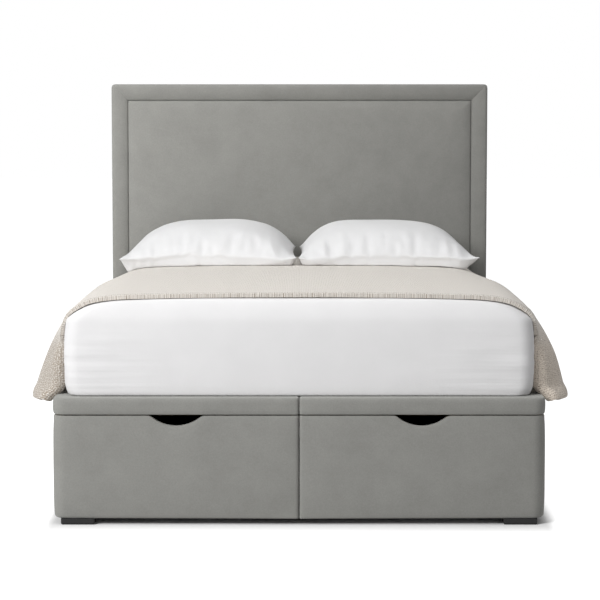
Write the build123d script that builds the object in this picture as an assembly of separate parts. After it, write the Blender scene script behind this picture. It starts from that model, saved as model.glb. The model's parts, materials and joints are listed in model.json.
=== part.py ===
from build123d import *
import os
from math import atan2, cos, degrees, hypot, pi, sin, sqrt

# Ottoman divan bed, king size. Millimetres, +X to the right of someone facing the
# foot end, +Y towards the headboard, +Z up, origin on the floor under the middle.

# Overall sizes
BED_WIDTH = 1500.0
BASE_LENGTH = 2000.0
BASE_UNDERSIDE = 19.5
BASE_TOP = 336.5
SEAM_GAP = 1.5
LID_HEIGHT = 52.5
HALVES_GAP = 2.0
HEADBOARD_HEIGHT = 1392.5
HEADBOARD_DEPTH = 80.0
HEADBOARD_GAP = 1.0

# Upholstery on the base and the lid
COVER_SIDE = 5.0
COVER_INNER = 3.0
COVER_FOLD = 2.5
COVER_UNDER = 2.0
LID_COVER_TOP = 4.0
OUTER_CORNER = 38.0
SPLIT_CORNER = 10.0
BOTTOM_ROUND = 10.0
LID_TOP_ROUND = 9.0
LID_RAIL_RISE = 0.5

# Timber of the base
PANEL = 18.0
PANEL_CORNER = 30.0
PANEL_BOTTOM_ROUND = 7.0
FLOOR_BOARD = 12.0
FLOOR_RISE = 4.5

# Hand scoops in the top edge of the foot panels
SCOOP_WIDTH = 178.0
SCOOP_DEPTH = 32.0
SCOOP_LIP = 25.0

# Timber of the lid
LID_RAIL = 45.0
LID_SIDE_RAIL = 55.0
DECK = 6.0

# Feet
FOOT_WIDTH = 103.0
FOOT_DEPTH = 58.0
FOOT_ROUND = 5.0
FOOT_INSET_SIDE = 22.0
FOOT_INSET_END = 3.0
INNER_FOOT_INSET = 300.0
HEADBOARD_FOOT_INSET = 160.0

# Headboard
BORDER = 66.0
BACKBOARD = 18.0
BACK_CLOTH = 3.0
BORDER_WRAP = 6.0
BORDER_CORNER = 14.0
BORDER_EDGE = 14.0
BORDER_INNER_EDGE = 9.0
PAD_GAP = 1.0
PAD_EDGE = 26.0
CLOTH_INSET = 3.0

# Lifting gear: pivots are placed from the lid pivot of the rear arm.
# Reach is towards the foot end, fall is downwards.
LID_PIVOT_FROM_HEAD = 413.0
LID_PIVOT_FALL = 24.0
REAR_PIVOT_REACH = 319.7
REAR_PIVOT_FALL = 63.9
FRONT_LID_REACH = 90.0
FRONT_LID_FALL = 60.0
FRONT_PIVOT_REACH = 577.6
FRONT_PIVOT_FALL = 186.8
STRUT_LID_REACH = -94.0
STRUT_LID_FALL = 46.0
STRUT_PIVOT_REACH = 109.0
STRUT_PIVOT_FALL = 244.0

ARM_THICK = 6.0
ARM_WIDTH = 28.0
ARM_EYE = 16.0
PLATE = 4.0
BASE_PLATE_EDGE = 22.0
LID_PLATE_EDGE = 18.0
FLANGE_WIDTH = 29.0
FLANGE_END = 30.0
GEAR_SPACE = 26.0
REAR_ARM_SET = 7.0
FRONT_ARM_SET = 19.0
STRUT_SET = 13.0
PIN_RADIUS = 5.0
PIN_HEAD = 9.0
PIN_HEAD_THICK = 3.0
PIN_PLAY = 0.15
SIDE_PLAY = 0.5
OPEN_PIN_PLAY = 2.7
STRUT_PIN_PLAY = 1.4
LIGHTENING_SHARE = 0.42

STRUT_TUBE = 10.0
STRUT_WALL = 1.5
STRUT_ROD = 4.0
STRUT_BORE_PLAY = 0.3
STRUT_EYE = 11.0
STRUT_COLLAR = 7.5
STRUT_COLLAR_LENGTH = 6.0
STRUT_TUBE_START = 24.0
STRUT_TUBE_LENGTH = 214.0
STRUT_END_WALL = 4.0
STRUT_GLAND = 9.0
STRUT_PISTON = 8.0
STRUT_PISTON_START = 96.0

# Fasteners
BOLT = 4.0
BOLT_HEAD = 7.5
BOLT_HEAD_THICK = 5.0
NUT = 7.0
NUT_THICK = 6.5
BOLT_PLAY = 0.2
WASHER = 10.0
WASHER_THICK = 1.6
SCREW = 2.4
SCREW_HEAD = 4.6
SCREW_HEAD_THICK = 2.2
SCREW_LENGTH = 17.0
SCREW_EDGE = 13.0
LINK_BOLT_FROM_END = 260.0
LINK_BOLT_LOW = 100.0
LINK_BOLT_HIGH = 230.0
BOARD_BOLT_INNER = 250.0
BOARD_BOLT_FROM_SIDE = 160.0
BOARD_BOLT_HEIGHT = 190.0

# Mattress retaining bars on the lid
RETAINER_ROD = 5.0
RETAINER_WIDTH = 200.0
RETAINER_HEIGHT = 105.0
RETAINER_BEND = 30.0
RETAINER_SINK = 30.0
RETAINER_FROM_HEAD = 22.0

# Soft goods
MATTRESS_INSET_SIDE = 28.0
MATTRESS_INSET_FOOT = 37.0
MATTRESS_INSET_HEAD = 40.0
MATTRESS_THICK = 298.5
MATTRESS_CORNER = 50.0
REST_GAP = 0.8
THROW_THICK = 8.5
THROW_GAP = 1.7
THROW_SIDE_GAP = 4.5
THROW_FOOT_INSET = 38.5
THROW_HEAD_INSET = 42.0
THROW_FLARE = 100.0
THROW_DROP = 315.5
PILLOW_WIDTH = 668.0
PILLOW_DEPTH = 486.0
PILLOW_RISE = 118.0
PILLOW_SAG = 30.0
PILLOW_SEAM = 5.0
PILLOW_TILT = 3.0
PILLOW_GAP = 14.0
PILLOW_FROM_BOARD = 68.0

CUT_OVERRUN = 10.0

# Worked-out places
LENGTH = BASE_LENGTH + HEADBOARD_GAP + HEADBOARD_DEPTH
Y_FOOT = -LENGTH / 2
Y_HEAD = Y_FOOT + BASE_LENGTH
Y_BOARD = Y_HEAD + HEADBOARD_GAP
Y_BACK = LENGTH / 2
X_OUT = BED_WIDTH / 2
X_IN = HALVES_GAP / 2
TIMBER_OUT = X_OUT - COVER_SIDE
TIMBER_IN = X_IN + COVER_INNER
TIMBER_FOOT = Y_FOOT + COVER_SIDE
TIMBER_HEAD = Y_HEAD - COVER_SIDE
PANEL_FLOOR = BASE_UNDERSIDE + COVER_UNDER
PANEL_TOP = BASE_TOP - COVER_FOLD
LID_BOTTOM = BASE_TOP + SEAM_GAP
LID_TOP = LID_BOTTOM + LID_HEIGHT
RAIL_BOTTOM = LID_BOTTOM + LID_RAIL_RISE
DECK_TOP = LID_TOP - LID_COVER_TOP
RAIL_TOP = DECK_TOP - DECK
FLOOR_BOTTOM = BASE_UNDERSIDE + FLOOR_RISE
GEAR_OUT = TIMBER_OUT - PANEL
PLATE_FACE = GEAR_OUT - PLATE
REAR_ARM_X = PLATE_FACE - REAR_ARM_SET
FRONT_ARM_X = PLATE_FACE - FRONT_ARM_SET
STRUT_X = PLATE_FACE - STRUT_SET
GEAR_IN = PLATE_FACE - GEAR_SPACE

LID_PIVOT = (Y_HEAD - LID_PIVOT_FROM_HEAD, RAIL_BOTTOM - LID_PIVOT_FALL)


def from_lid_pivot(reach, fall):
    """Y and Z of a pivot placed from the rear arm's lid pivot."""
    return (LID_PIVOT[0] - reach, LID_PIVOT[1] - fall)


REAR_PIVOT = from_lid_pivot(REAR_PIVOT_REACH, REAR_PIVOT_FALL)
FRONT_PIVOT = from_lid_pivot(FRONT_PIVOT_REACH, FRONT_PIVOT_FALL)
FRONT_LID_PIVOT = from_lid_pivot(FRONT_LID_REACH, FRONT_LID_FALL)
STRUT_PIVOT = from_lid_pivot(STRUT_PIVOT_REACH, STRUT_PIVOT_FALL)
STRUT_LID_PIVOT = from_lid_pivot(STRUT_LID_REACH, STRUT_LID_FALL)
BASE_PIVOTS = (REAR_PIVOT, FRONT_PIVOT, STRUT_PIVOT)
LID_PIVOTS = (LID_PIVOT, FRONT_LID_PIVOT, STRUT_LID_PIVOT)

nodes = {}


def block(x0, x1, y0, y1, z0, z1):
    """A box between two corners."""
    centre = Vector((x0 + x1) / 2, (y0 + y1) / 2, (z0 + z1) / 2)
    return Pos(centre) * Box(abs(x1 - x0), abs(y1 - y0), abs(z1 - z0))


def rod_x(x0, x1, y, z, radius):
    """A round bar along X."""
    return Pos((x0 + x1) / 2, y, z) * Rot(0, 90, 0) * Cylinder(radius, abs(x1 - x0))


def rod_y(x, y0, y1, z, radius):
    """A round bar along Y."""
    return Pos(x, (y0 + y1) / 2, z) * Rot(90, 0, 0) * Cylinder(radius, abs(y1 - y0))


def rod_z(x, y, z0, z1, radius):
    """A round bar along Z."""
    return Pos(x, y, (z0 + z1) / 2) * Cylinder(radius, abs(z1 - z0))


def side_plate(face, x0, x1):
    """A flat shape drawn in Y and Z, given thickness from x0 to x1."""
    plane = Plane(origin=(x0, 0, 0), x_dir=(0, 1, 0), z_dir=(1, 0, 0))
    return extrude(plane * face, amount=x1 - x0)


def mirrored(shape):
    """The left-hand copy of a right-hand piece."""
    return mirror(shape, about=Plane.YZ)


def keep(name, shape):
    nodes[name] = shape


def keep_pair(name, shape):
    """A piece and its mirror image, as right and left nodes."""
    keep("right_" + name, shape)
    keep("left_" + name, mirrored(shape))


def group(pieces):
    """Identical fasteners as one group of separate solids."""
    return Compound(children=[piece.solid() for piece in pieces])


def half_plan(x0, x1, y0, y1, outer, inner):
    """Plan of one half: large corners on the outside, small ones at the split."""
    plan = Pos((x0 + x1) / 2, (y0 + y1) / 2) * Rectangle(x1 - x0, y1 - y0)
    corners = plan.vertices().group_by(Axis.X)
    plan = fillet(corners[-1], outer)
    return fillet(plan.vertices().group_by(Axis.X)[0], inner) if inner else plan


def half_prism(x0, x1, y0, y1, z0, z1, outer, inner):
    plan = half_plan(x0, x1, y0, y1, outer, inner)
    return extrude(Pos(0, 0, z0) * plan, amount=z1 - z0)


def outside_bottom_edges(solid):
    """Edges of the bottom face, but not those at the split."""
    edges = solid.faces().sort_by(Axis.Z)[0].edges()
    split_zone = solid.bounding_box().min.X + SPLIT_CORNER
    return [e for e in edges if e.center().X > split_zone]


# Base

SCOOP_X = (TIMBER_IN + PANEL + TIMBER_OUT) / 2 - PANEL / 2


def scoop_profile(grow):
    """Hand scoop: a shallow arc that runs out into the top edge over two lips."""
    half = SCOOP_WIDTH / 2
    reach = (half ** 2 + SCOOP_DEPTH ** 2) / (2 * SCOOP_DEPTH)
    radius = reach - SCOOP_LIP + grow
    lip = SCOOP_LIP - grow
    centre = (0, reach - SCOOP_LIP - SCOOP_DEPTH)
    lip_centre = (half, -SCOOP_LIP)
    angle = atan2(lip_centre[1] - centre[1], lip_centre[0])
    meet = (centre[0] + radius * cos(angle), centre[1] + radius * sin(angle))
    lip_angle = (angle + pi + pi / 2) / 2
    lip_mid = (half + lip * cos(lip_angle), -SCOOP_LIP + lip * sin(lip_angle))
    top = -grow
    bottom = (0, centre[1] - radius)
    over = CUT_OVERRUN
    with BuildSketch(Plane.XZ) as sketch:
        with BuildLine():
            ThreePointArc((-half, top), (-lip_mid[0], lip_mid[1]), (-meet[0], meet[1]))
            ThreePointArc((-meet[0], meet[1]), bottom, meet)
            ThreePointArc(meet, lip_mid, (half, top))
            Polyline((half, top), (half, over), (-half, over), (-half, top))
        make_face()
    return Pos(SCOOP_X, 0, BASE_TOP) * sketch.sketch


def scoop_cut(grow, y0, y1):
    face = Pos(0, y1, 0) * scoop_profile(grow)
    return extrude(face, amount=y1 - y0)


def base_timber_envelope():
    solid = half_prism(TIMBER_IN, TIMBER_OUT, TIMBER_FOOT, TIMBER_HEAD, PANEL_FLOOR, PANEL_TOP,
                       PANEL_CORNER, SPLIT_CORNER - COVER_INNER)
    return fillet(outside_bottom_edges(solid), PANEL_BOTTOM_ROUND)


def base_halves():
    envelope = base_timber_envelope()
    inner_face = TIMBER_IN + PANEL
    outer_face = TIMBER_OUT - PANEL
    foot_face = TIMBER_FOOT + PANEL
    head_face = TIMBER_HEAD - PANEL
    low = PANEL_FLOOR - CUT_OVERRUN
    high = PANEL_TOP + CUT_OVERRUN

    foot_panel = envelope & block(inner_face, outer_face, TIMBER_FOOT, foot_face, low, high)
    foot_panel -= scoop_cut(COVER_FOLD, TIMBER_FOOT - CUT_OVERRUN, foot_face + CUT_OVERRUN)
    head_panel = envelope & block(inner_face, outer_face, head_face, TIMBER_HEAD, low, high)
    outer_panel = envelope & block(outer_face, TIMBER_OUT, TIMBER_FOOT, TIMBER_HEAD, low, high)
    inner_panel = envelope & block(TIMBER_IN, inner_face, TIMBER_FOOT, TIMBER_HEAD, low, high)
    floor_board = block(inner_face, outer_face, foot_face, head_face,
                        FLOOR_BOTTOM, FLOOR_BOTTOM + FLOOR_BOARD)

    cover = half_prism(X_IN, X_OUT, Y_FOOT, Y_HEAD, BASE_UNDERSIDE, BASE_TOP,
                       OUTER_CORNER, SPLIT_CORNER)
    cover = fillet(outside_bottom_edges(cover), BOTTOM_ROUND)
    cover -= envelope - scoop_cut(COVER_FOLD, Y_FOOT - CUT_OVERRUN, foot_face + CUT_OVERRUN)
    cover -= block(inner_face, outer_face, foot_face, head_face,
                   BASE_UNDERSIDE - CUT_OVERRUN, BASE_TOP + CUT_OVERRUN)
    cover -= scoop_cut(0, Y_FOOT - CUT_OVERRUN, foot_face + CUT_OVERRUN)

    for y, z in link_bolt_places():
        hole = rod_x(X_IN - CUT_OVERRUN, inner_face + CUT_OVERRUN, y, z, BOLT + BOLT_PLAY)
        inner_panel -= hole
        cover -= hole
    for x in board_bolt_reaches():
        hole = rod_y(x, head_face - CUT_OVERRUN, Y_HEAD + CUT_OVERRUN, BOARD_BOLT_HEIGHT,
                     BOLT + BOLT_PLAY)
        head_panel -= hole
        cover -= hole
    for y, z in base_screw_places():
        outer_panel -= rod_x(GEAR_OUT - CUT_OVERRUN, screw_end(), y, z, SCREW)

    keep_pair("foot_panel", foot_panel)
    keep_pair("head_panel", head_panel)
    keep_pair("outer_side_panel", outer_panel)
    keep_pair("inner_side_panel", inner_panel)
    keep_pair("floor_board", floor_board)
    keep_pair("base_cover", cover)


def link_bolt_places():
    ends = (Y_FOOT + LINK_BOLT_FROM_END, Y_HEAD - LINK_BOLT_FROM_END)
    return [(y, z) for y in ends for z in (LINK_BOLT_LOW, LINK_BOLT_HIGH)]


def through_bolt(half_grip):
    """Bolt along X through two timbers, with its head, washers and nut."""
    face = half_grip + WASHER_THICK
    bolt = Rot(0, 90, 0) * Cylinder(BOLT, 2 * face)
    bolt += rod_x(-face, -half_grip, 0, 0, WASHER)
    bolt += rod_x(half_grip, face, 0, 0, WASHER)
    hexagon = RegularPolygon(BOLT_HEAD, 6)
    bolt += Pos(-face, 0, 0) * Rot(0, -90, 0) * extrude(hexagon, amount=BOLT_HEAD_THICK)
    bolt += Pos(face, 0, 0) * Rot(0, 90, 0) * extrude(RegularPolygon(NUT, 6), amount=NUT_THICK)
    return bolt


def base_link_bolts():
    bolt = through_bolt(TIMBER_IN + PANEL)
    keep("base_link_bolts", group([Pos(0, y, z) * bolt for y, z in link_bolt_places()]))


def foot_blank():
    foot = Pos(0, 0, BASE_UNDERSIDE / 2) * Box(FOOT_WIDTH, FOOT_DEPTH, BASE_UNDERSIDE)
    foot = fillet(foot.edges().filter_by(Axis.Z), FOOT_ROUND)
    return fillet(foot.faces().sort_by(Axis.Z)[0].edges(), FOOT_ROUND)


def feet():
    """Low moulded feet: eight under the base and two under the headboard."""
    foot = foot_blank()
    outer_x = X_OUT - FOOT_INSET_SIDE - FOOT_WIDTH / 2
    inner_x = X_IN + FOOT_INSET_SIDE + FOOT_WIDTH / 2
    end = FOOT_INSET_END + FOOT_DEPTH / 2
    places = [(outer_x, Y_FOOT + end), (outer_x, Y_HEAD - end)]
    places += [(inner_x, Y_FOOT + INNER_FOOT_INSET), (inner_x, Y_HEAD - INNER_FOOT_INSET)]
    places += [(X_OUT - HEADBOARD_FOOT_INSET, (Y_BOARD + Y_BACK) / 2)]
    keep("feet", group([Pos(side * x, y, 0) * foot for x, y in places for side in (-1, 1)]))


# Lid

def lid_halves():
    foot_face = TIMBER_FOOT + LID_RAIL
    head_face = TIMBER_HEAD - LID_RAIL
    inner_face = TIMBER_IN + LID_RAIL
    outer_face = TIMBER_OUT - LID_SIDE_RAIL
    envelope = half_prism(TIMBER_IN, TIMBER_OUT, TIMBER_FOOT, TIMBER_HEAD, RAIL_BOTTOM, DECK_TOP,
                          PANEL_CORNER, SPLIT_CORNER - COVER_INNER)
    deck = envelope & block(TIMBER_IN, TIMBER_OUT, TIMBER_FOOT, TIMBER_HEAD, RAIL_TOP, DECK_TOP)
    outer_rail = envelope & block(outer_face, TIMBER_OUT, TIMBER_FOOT, TIMBER_HEAD,
                                  RAIL_BOTTOM, RAIL_TOP)
    inner_rail = envelope & block(TIMBER_IN, inner_face, TIMBER_FOOT, TIMBER_HEAD,
                                  RAIL_BOTTOM, RAIL_TOP)
    foot_rail = block(inner_face, outer_face, TIMBER_FOOT, foot_face, RAIL_BOTTOM, RAIL_TOP)
    head_rail = block(inner_face, outer_face, head_face, TIMBER_HEAD, RAIL_BOTTOM, RAIL_TOP)
    middle = (Y_FOOT + Y_HEAD) / 2
    cross_rail = block(inner_face, outer_face, middle - LID_RAIL / 2, middle + LID_RAIL / 2,
                       RAIL_BOTTOM, RAIL_TOP)

    cover = half_prism(X_IN, X_OUT, Y_FOOT, Y_HEAD, LID_BOTTOM, LID_TOP,
                       OUTER_CORNER, SPLIT_CORNER)
    cover = fillet(cover.faces().sort_by(Axis.Z)[-1].edges(), LID_TOP_ROUND)
    cavity = half_prism(TIMBER_IN, TIMBER_OUT, TIMBER_FOOT, TIMBER_HEAD,
                        LID_BOTTOM - CUT_OVERRUN, DECK_TOP,
                        PANEL_CORNER, SPLIT_CORNER - COVER_INNER)
    cover -= cavity

    for y in lid_bolt_places():
        hole = rod_x(X_IN - CUT_OVERRUN, inner_face + CUT_OVERRUN, y, LID_BOLT_Z, BOLT + BOLT_PLAY)
        inner_rail -= hole
        cover -= hole
    for x, y in retainer_legs():
        hole = rod_z(x, y, RAIL_TOP - RETAINER_SINK, LID_TOP + CUT_OVERRUN, RETAINER_ROD)
        head_rail -= hole
        deck -= hole
        cover -= hole
    for x, y in lid_screw_places():
        outer_rail -= rod_z(x, y, RAIL_BOTTOM - CUT_OVERRUN, RAIL_BOTTOM - PLATE + SCREW_LENGTH,
                            SCREW)

    keep_pair("lid_deck", deck)
    keep_pair("lid_outer_rail", outer_rail)
    keep_pair("lid_inner_rail", inner_rail)
    keep_pair("lid_foot_rail", foot_rail)
    keep_pair("lid_head_rail", head_rail)
    keep_pair("lid_cross_rail", cross_rail)
    keep_pair("lid_cover", cover)


LID_BOLT_Z = (RAIL_BOTTOM + RAIL_TOP) / 2


def lid_bolt_places():
    middle = (Y_FOOT + Y_HEAD) / 2
    reach = BASE_LENGTH / 2 - LINK_BOLT_FROM_END
    return [middle - reach, middle + LID_RAIL * 2, middle + reach]


def lid_link_bolts():
    bolt = through_bolt(TIMBER_IN + LID_RAIL)
    keep("lid_link_bolts", group([Pos(0, y, LID_BOLT_Z) * bolt for y in lid_bolt_places()]))


RETAINER_Y = Y_HEAD - RETAINER_FROM_HEAD
RETAINER_X = (X_IN + X_OUT) / 2


def retainer_legs():
    half = RETAINER_WIDTH / 2
    return [(RETAINER_X - half, RETAINER_Y), (RETAINER_X + half, RETAINER_Y)]


def mattress_retainers():
    """Bent steel bar at the head of each lid that stops the mattress sliding back."""
    half = RETAINER_WIDTH / 2
    top = LID_TOP + RETAINER_HEIGHT
    bottom = RAIL_TOP - RETAINER_SINK
    left = RETAINER_X - half
    right = RETAINER_X + half
    path = FilletPolyline((left, RETAINER_Y, bottom), (left, RETAINER_Y, top),
                          (right, RETAINER_Y, top), (right, RETAINER_Y, bottom),
                          radius=RETAINER_BEND)
    bar = sweep(Plane(origin=path @ 0, z_dir=path % 0) * Circle(RETAINER_ROD), path=path)
    keep_pair("mattress_retainer", bar)


# Headboard

BOARD_FRONT = Y_BOARD
CLOTH_FRONT = Y_BACK - BACK_CLOTH
BACKBOARD_FRONT = CLOTH_FRONT - BACKBOARD


def front_view_face(half_width, bottom, top, corner):
    """A headboard outline in X and Z with its two top corners rounded."""
    face = Pos(0, (bottom + top) / 2) * Rectangle(2 * half_width, top - bottom)
    return fillet(face.vertices().group_by(Axis.Y)[-1], corner) if corner else face


def upright_slab(face, y0, y1):
    plane = Plane(origin=(0, y1, 0), x_dir=(1, 0, 0), z_dir=(0, -1, 0))
    return extrude(plane * face, amount=y1 - y0)


def headboard():
    bottom = BASE_UNDERSIDE
    top = HEADBOARD_HEIGHT
    inner_x = X_OUT - BORDER
    inner_top = top - BORDER

    frame = upright_slab(front_view_face(X_OUT, bottom, top, BORDER_CORNER),
                         BOARD_FRONT, CLOTH_FRONT)
    outer = [e for e in frame.faces().sort_by(Axis.Y)[0].edges()
             if e.center().Z > bottom + PAD_GAP]
    frame = fillet(outer, BORDER_EDGE)
    frame -= upright_slab(front_view_face(inner_x, bottom - CUT_OVERRUN, inner_top, 0),
                          BOARD_FRONT - CUT_OVERRUN, Y_BACK)
    frame = fillet([e for e in frame.faces().sort_by(Axis.Y)[0].edges()
                    if abs(e.center().X) < inner_x + PAD_GAP and e.center().Z < inner_top + PAD_GAP
                    and e.center().Z > bottom + PAD_GAP], BORDER_INNER_EDGE)
    board_face = front_view_face(X_OUT - BORDER_WRAP, bottom + BORDER_WRAP, top - BORDER_WRAP,
                                 BORDER_CORNER - BORDER_WRAP)
    frame -= upright_slab(board_face, BACKBOARD_FRONT, Y_BACK)

    over = CUT_OVERRUN
    reach = BORDER + over
    near = PAD_GAP / 2 * sqrt(2)
    far = over + near
    mitre = Polyline((inner_x - over, inner_top - far),
                     (inner_x + reach, inner_top + reach - near),
                     (inner_x + reach, bottom - over), (inner_x - over, bottom - over),
                     close=True)
    side_zone = upright_slab(make_face(mitre), BOARD_FRONT - over, Y_BACK + over)
    wedge = Polyline((inner_x - over, inner_top - over + near),
                     (inner_x + reach, inner_top + reach + near),
                     (inner_x - over, inner_top + reach + near), close=True)
    top_zone = upright_slab(make_face(wedge), BOARD_FRONT - over, Y_BACK + over)
    top_zone += mirrored(top_zone)
    top_zone += block(-inner_x, inner_x, BOARD_FRONT - over, Y_BACK + over,
                      inner_top - over, top + over)
    side = frame & side_zone
    keep("headboard_right_border", side)
    keep("headboard_left_border", mirrored(side))
    keep("headboard_top_border", frame & top_zone)

    pad = upright_slab(front_view_face(inner_x - PAD_GAP, bottom, inner_top - PAD_GAP, 0),
                       BOARD_FRONT, BACKBOARD_FRONT)
    pad = fillet([e for e in pad.faces().sort_by(Axis.Y)[0].edges()
                  if e.center().Z > bottom + PAD_GAP], PAD_EDGE)
    backboard = upright_slab(board_face, BACKBOARD_FRONT, CLOTH_FRONT)
    cloth = upright_slab(front_view_face(X_OUT - CLOTH_INSET, bottom + CLOTH_INSET,
                                         top - CLOTH_INSET, BORDER_CORNER - CLOTH_INSET),
                         CLOTH_FRONT, Y_BACK)
    for x in board_bolt_places():
        hole = rod_y(x, BOARD_FRONT - CUT_OVERRUN, CLOTH_FRONT, BOARD_BOLT_HEIGHT,
                     BOLT + BOLT_PLAY)
        pad -= hole
        backboard -= hole
    keep("headboard_centre_pad", pad)
    keep("headboard_backboard", backboard)
    keep("headboard_back_cloth", cloth)


def board_bolt_reaches():
    return (BOARD_BOLT_INNER, X_OUT - BOARD_BOLT_FROM_SIDE)


def board_bolt_places():
    return [side * x for x in board_bolt_reaches() for side in (-1, 1)]


def headboard_bolts():
    """Long bolts from inside the base, through its head panel, into the backboard."""
    seat = TIMBER_HEAD - PANEL
    washer = rod_y(0, seat - WASHER_THICK, seat, BOARD_BOLT_HEIGHT, WASHER)
    shank = rod_y(0, seat, CLOTH_FRONT - COVER_UNDER, BOARD_BOLT_HEIGHT, BOLT)
    plane = Plane(origin=(0, seat - WASHER_THICK, BOARD_BOLT_HEIGHT), z_dir=(0, -1, 0))
    head = extrude(plane * RegularPolygon(BOLT_HEAD, 6), amount=BOLT_HEAD_THICK)
    bolt = washer + shank + head
    keep("headboard_bolts", group([Pos(x, 0, 0) * bolt for x in board_bolt_places()]))


# Lifting gear

def circles(places, radius):
    return [Pos(y, z) * Circle(radius) for y, z in places]


def arm(x, start, end, end_hole):
    """Flat steel arm with an eye at each pivot, its thickness centred on x."""
    length = hypot(end[0] - start[0], end[1] - start[1])
    turn = degrees(atan2(end[1] - start[1], end[0] - start[0]))
    bar = Pos(length / 2, 0) * Rectangle(length, ARM_WIDTH)
    shape = bar + Circle(ARM_EYE) + Pos(length, 0) * Circle(ARM_EYE)
    shape -= Circle(PIN_RADIUS + PIN_PLAY)
    shape -= Pos(length, 0) * Circle(end_hole)
    placed = Pos(start[0], start[1]) * Rot(0, 0, turn) * shape
    return side_plate(placed, x - ARM_THICK / 2, x + ARM_THICK / 2)


def arms():
    """Rear and front arms in two planes, so that they pass each other."""
    keep_pair("rear_arm", arm(REAR_ARM_X, REAR_PIVOT, LID_PIVOT, PIN_RADIUS + PIN_PLAY))
    keep_pair("front_arm", arm(FRONT_ARM_X, FRONT_PIVOT, FRONT_LID_PIVOT,
                               PIN_RADIUS + OPEN_PIN_PLAY))


def rounded_hull(places, edge):
    """Plate outline that wraps round a set of pivots at one edge distance."""
    return offset(make_face(Polyline(*places, close=True)), amount=edge, kind=Kind.ARC)


SCREW_SHARES = (0.22, 0.78)


def base_screw_places():
    """Screws of the base bracket, two along each of its three edges."""
    rear, front, strut = BASE_PIVOTS
    pairs = ((rear, front), (front, strut), (strut, rear))
    return [(a[0] + (b[0] - a[0]) * share, a[1] + (b[1] - a[1]) * share)
            for a, b in pairs for share in SCREW_SHARES]


def screw_end():
    return PLATE_FACE + SCREW_LENGTH


def base_brackets():
    plate = rounded_hull(BASE_PIVOTS, BASE_PLATE_EDGE)
    middle = (sum(p[0] for p in BASE_PIVOTS) / 3, sum(p[1] for p in BASE_PIVOTS) / 3)
    window = [(middle[0] + (p[0] - middle[0]) * LIGHTENING_SHARE,
               middle[1] + (p[1] - middle[1]) * LIGHTENING_SHARE) for p in BASE_PIVOTS]
    cut_out = make_face(Polyline(*window, close=True))
    plate -= fillet(cut_out.vertices(), PIN_RADIUS)
    for hole in circles(BASE_PIVOTS, PIN_RADIUS) + circles(base_screw_places(), SCREW):
        plate -= hole
    keep_pair("base_bracket", side_plate(plate, PLATE_FACE, GEAR_OUT))

    screw = rod_x(PLATE_FACE, screw_end(), 0, 0, SCREW)
    screw += rod_x(PLATE_FACE - SCREW_HEAD_THICK, PLATE_FACE, 0, 0, SCREW_HEAD)
    right = [Pos(0, y, z) * screw for y, z in base_screw_places()]
    keep("base_bracket_screws", group(right + [mirrored(s) for s in right]))


LID_PLATE_TOP = RAIL_BOTTOM
FLANGE_FOOT = FRONT_LID_PIVOT[0] - FLANGE_END
FLANGE_HEAD = STRUT_LID_PIVOT[0] + FLANGE_END


def lid_screw_places():
    x = GEAR_IN + PLATE + (FLANGE_WIDTH - PLATE) / 2
    first = FLANGE_FOOT + SCREW_EDGE
    step = (FLANGE_HEAD - SCREW_EDGE - first) / 3
    return [(x, first + step * k) for k in range(4)]


def lid_brackets():
    web = rounded_hull(LID_PIVOTS, LID_PLATE_EDGE)
    web += make_face(Polyline((FLANGE_FOOT, LID_PLATE_TOP), (FLANGE_HEAD, LID_PLATE_TOP),
                              STRUT_LID_PIVOT, FRONT_LID_PIVOT, close=True))
    web &= Pos((FLANGE_FOOT + FLANGE_HEAD) / 2, LID_PLATE_TOP - BASE_TOP / 2) * Rectangle(
        FLANGE_HEAD - FLANGE_FOOT, BASE_TOP)
    for hole in circles(LID_PIVOTS, PIN_RADIUS):
        web -= hole
    bracket = side_plate(web, GEAR_IN - PLATE, GEAR_IN)
    flange = block(GEAR_IN - PLATE, GEAR_IN - PLATE + FLANGE_WIDTH, FLANGE_FOOT, FLANGE_HEAD,
                   LID_PLATE_TOP - PLATE, LID_PLATE_TOP)
    for x, y in lid_screw_places():
        flange -= rod_z(x, y, LID_PLATE_TOP - PLATE - CUT_OVERRUN, LID_PLATE_TOP + CUT_OVERRUN,
                        SCREW)
    keep_pair("lid_bracket", bracket + flange)

    seat = LID_PLATE_TOP - PLATE
    screw = rod_z(0, 0, seat, seat + SCREW_LENGTH, SCREW)
    screw += rod_z(0, 0, seat - SCREW_HEAD_THICK, seat, SCREW_HEAD)
    right = [Pos(x, y, 0) * screw for x, y in lid_screw_places()]
    keep("lid_bracket_screws", group(right + [mirrored(s) for s in right]))


def pin(plate_from, plate_to, eye_x):
    """Shouldered pivot pin riveted into a plate, with a head beyond the eye it carries."""
    way = 1 if eye_x > plate_to else -1
    half = ARM_THICK / 2 + SIDE_PLAY
    shoulder_end = eye_x - way * half
    shank_end = eye_x + way * half
    piece = rod_x(plate_from, plate_to, 0, 0, PIN_RADIUS)
    piece += rod_x(plate_to, shoulder_end, 0, 0, PIN_HEAD)
    piece += rod_x(shoulder_end, shank_end, 0, 0, PIN_RADIUS)
    piece += rod_x(shank_end, shank_end + way * PIN_HEAD_THICK, 0, 0, PIN_HEAD)
    return piece


def pivot_pins():
    """Pins of both brackets, each long enough for the plane of its arm or strut."""
    planes = (REAR_ARM_X, FRONT_ARM_X, STRUT_X)
    right = [Pos(0, y, z) * pin(GEAR_OUT, PLATE_FACE, x) for (y, z), x in zip(BASE_PIVOTS, planes)]
    keep("base_pivot_pins", group(right + [mirrored(p) for p in right]))
    right = [Pos(0, y, z) * pin(GEAR_IN - PLATE, GEAR_IN, x)
             for (y, z), x in zip(LID_PIVOTS, planes)]
    keep("lid_pivot_pins", group(right + [mirrored(p) for p in right]))


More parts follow.
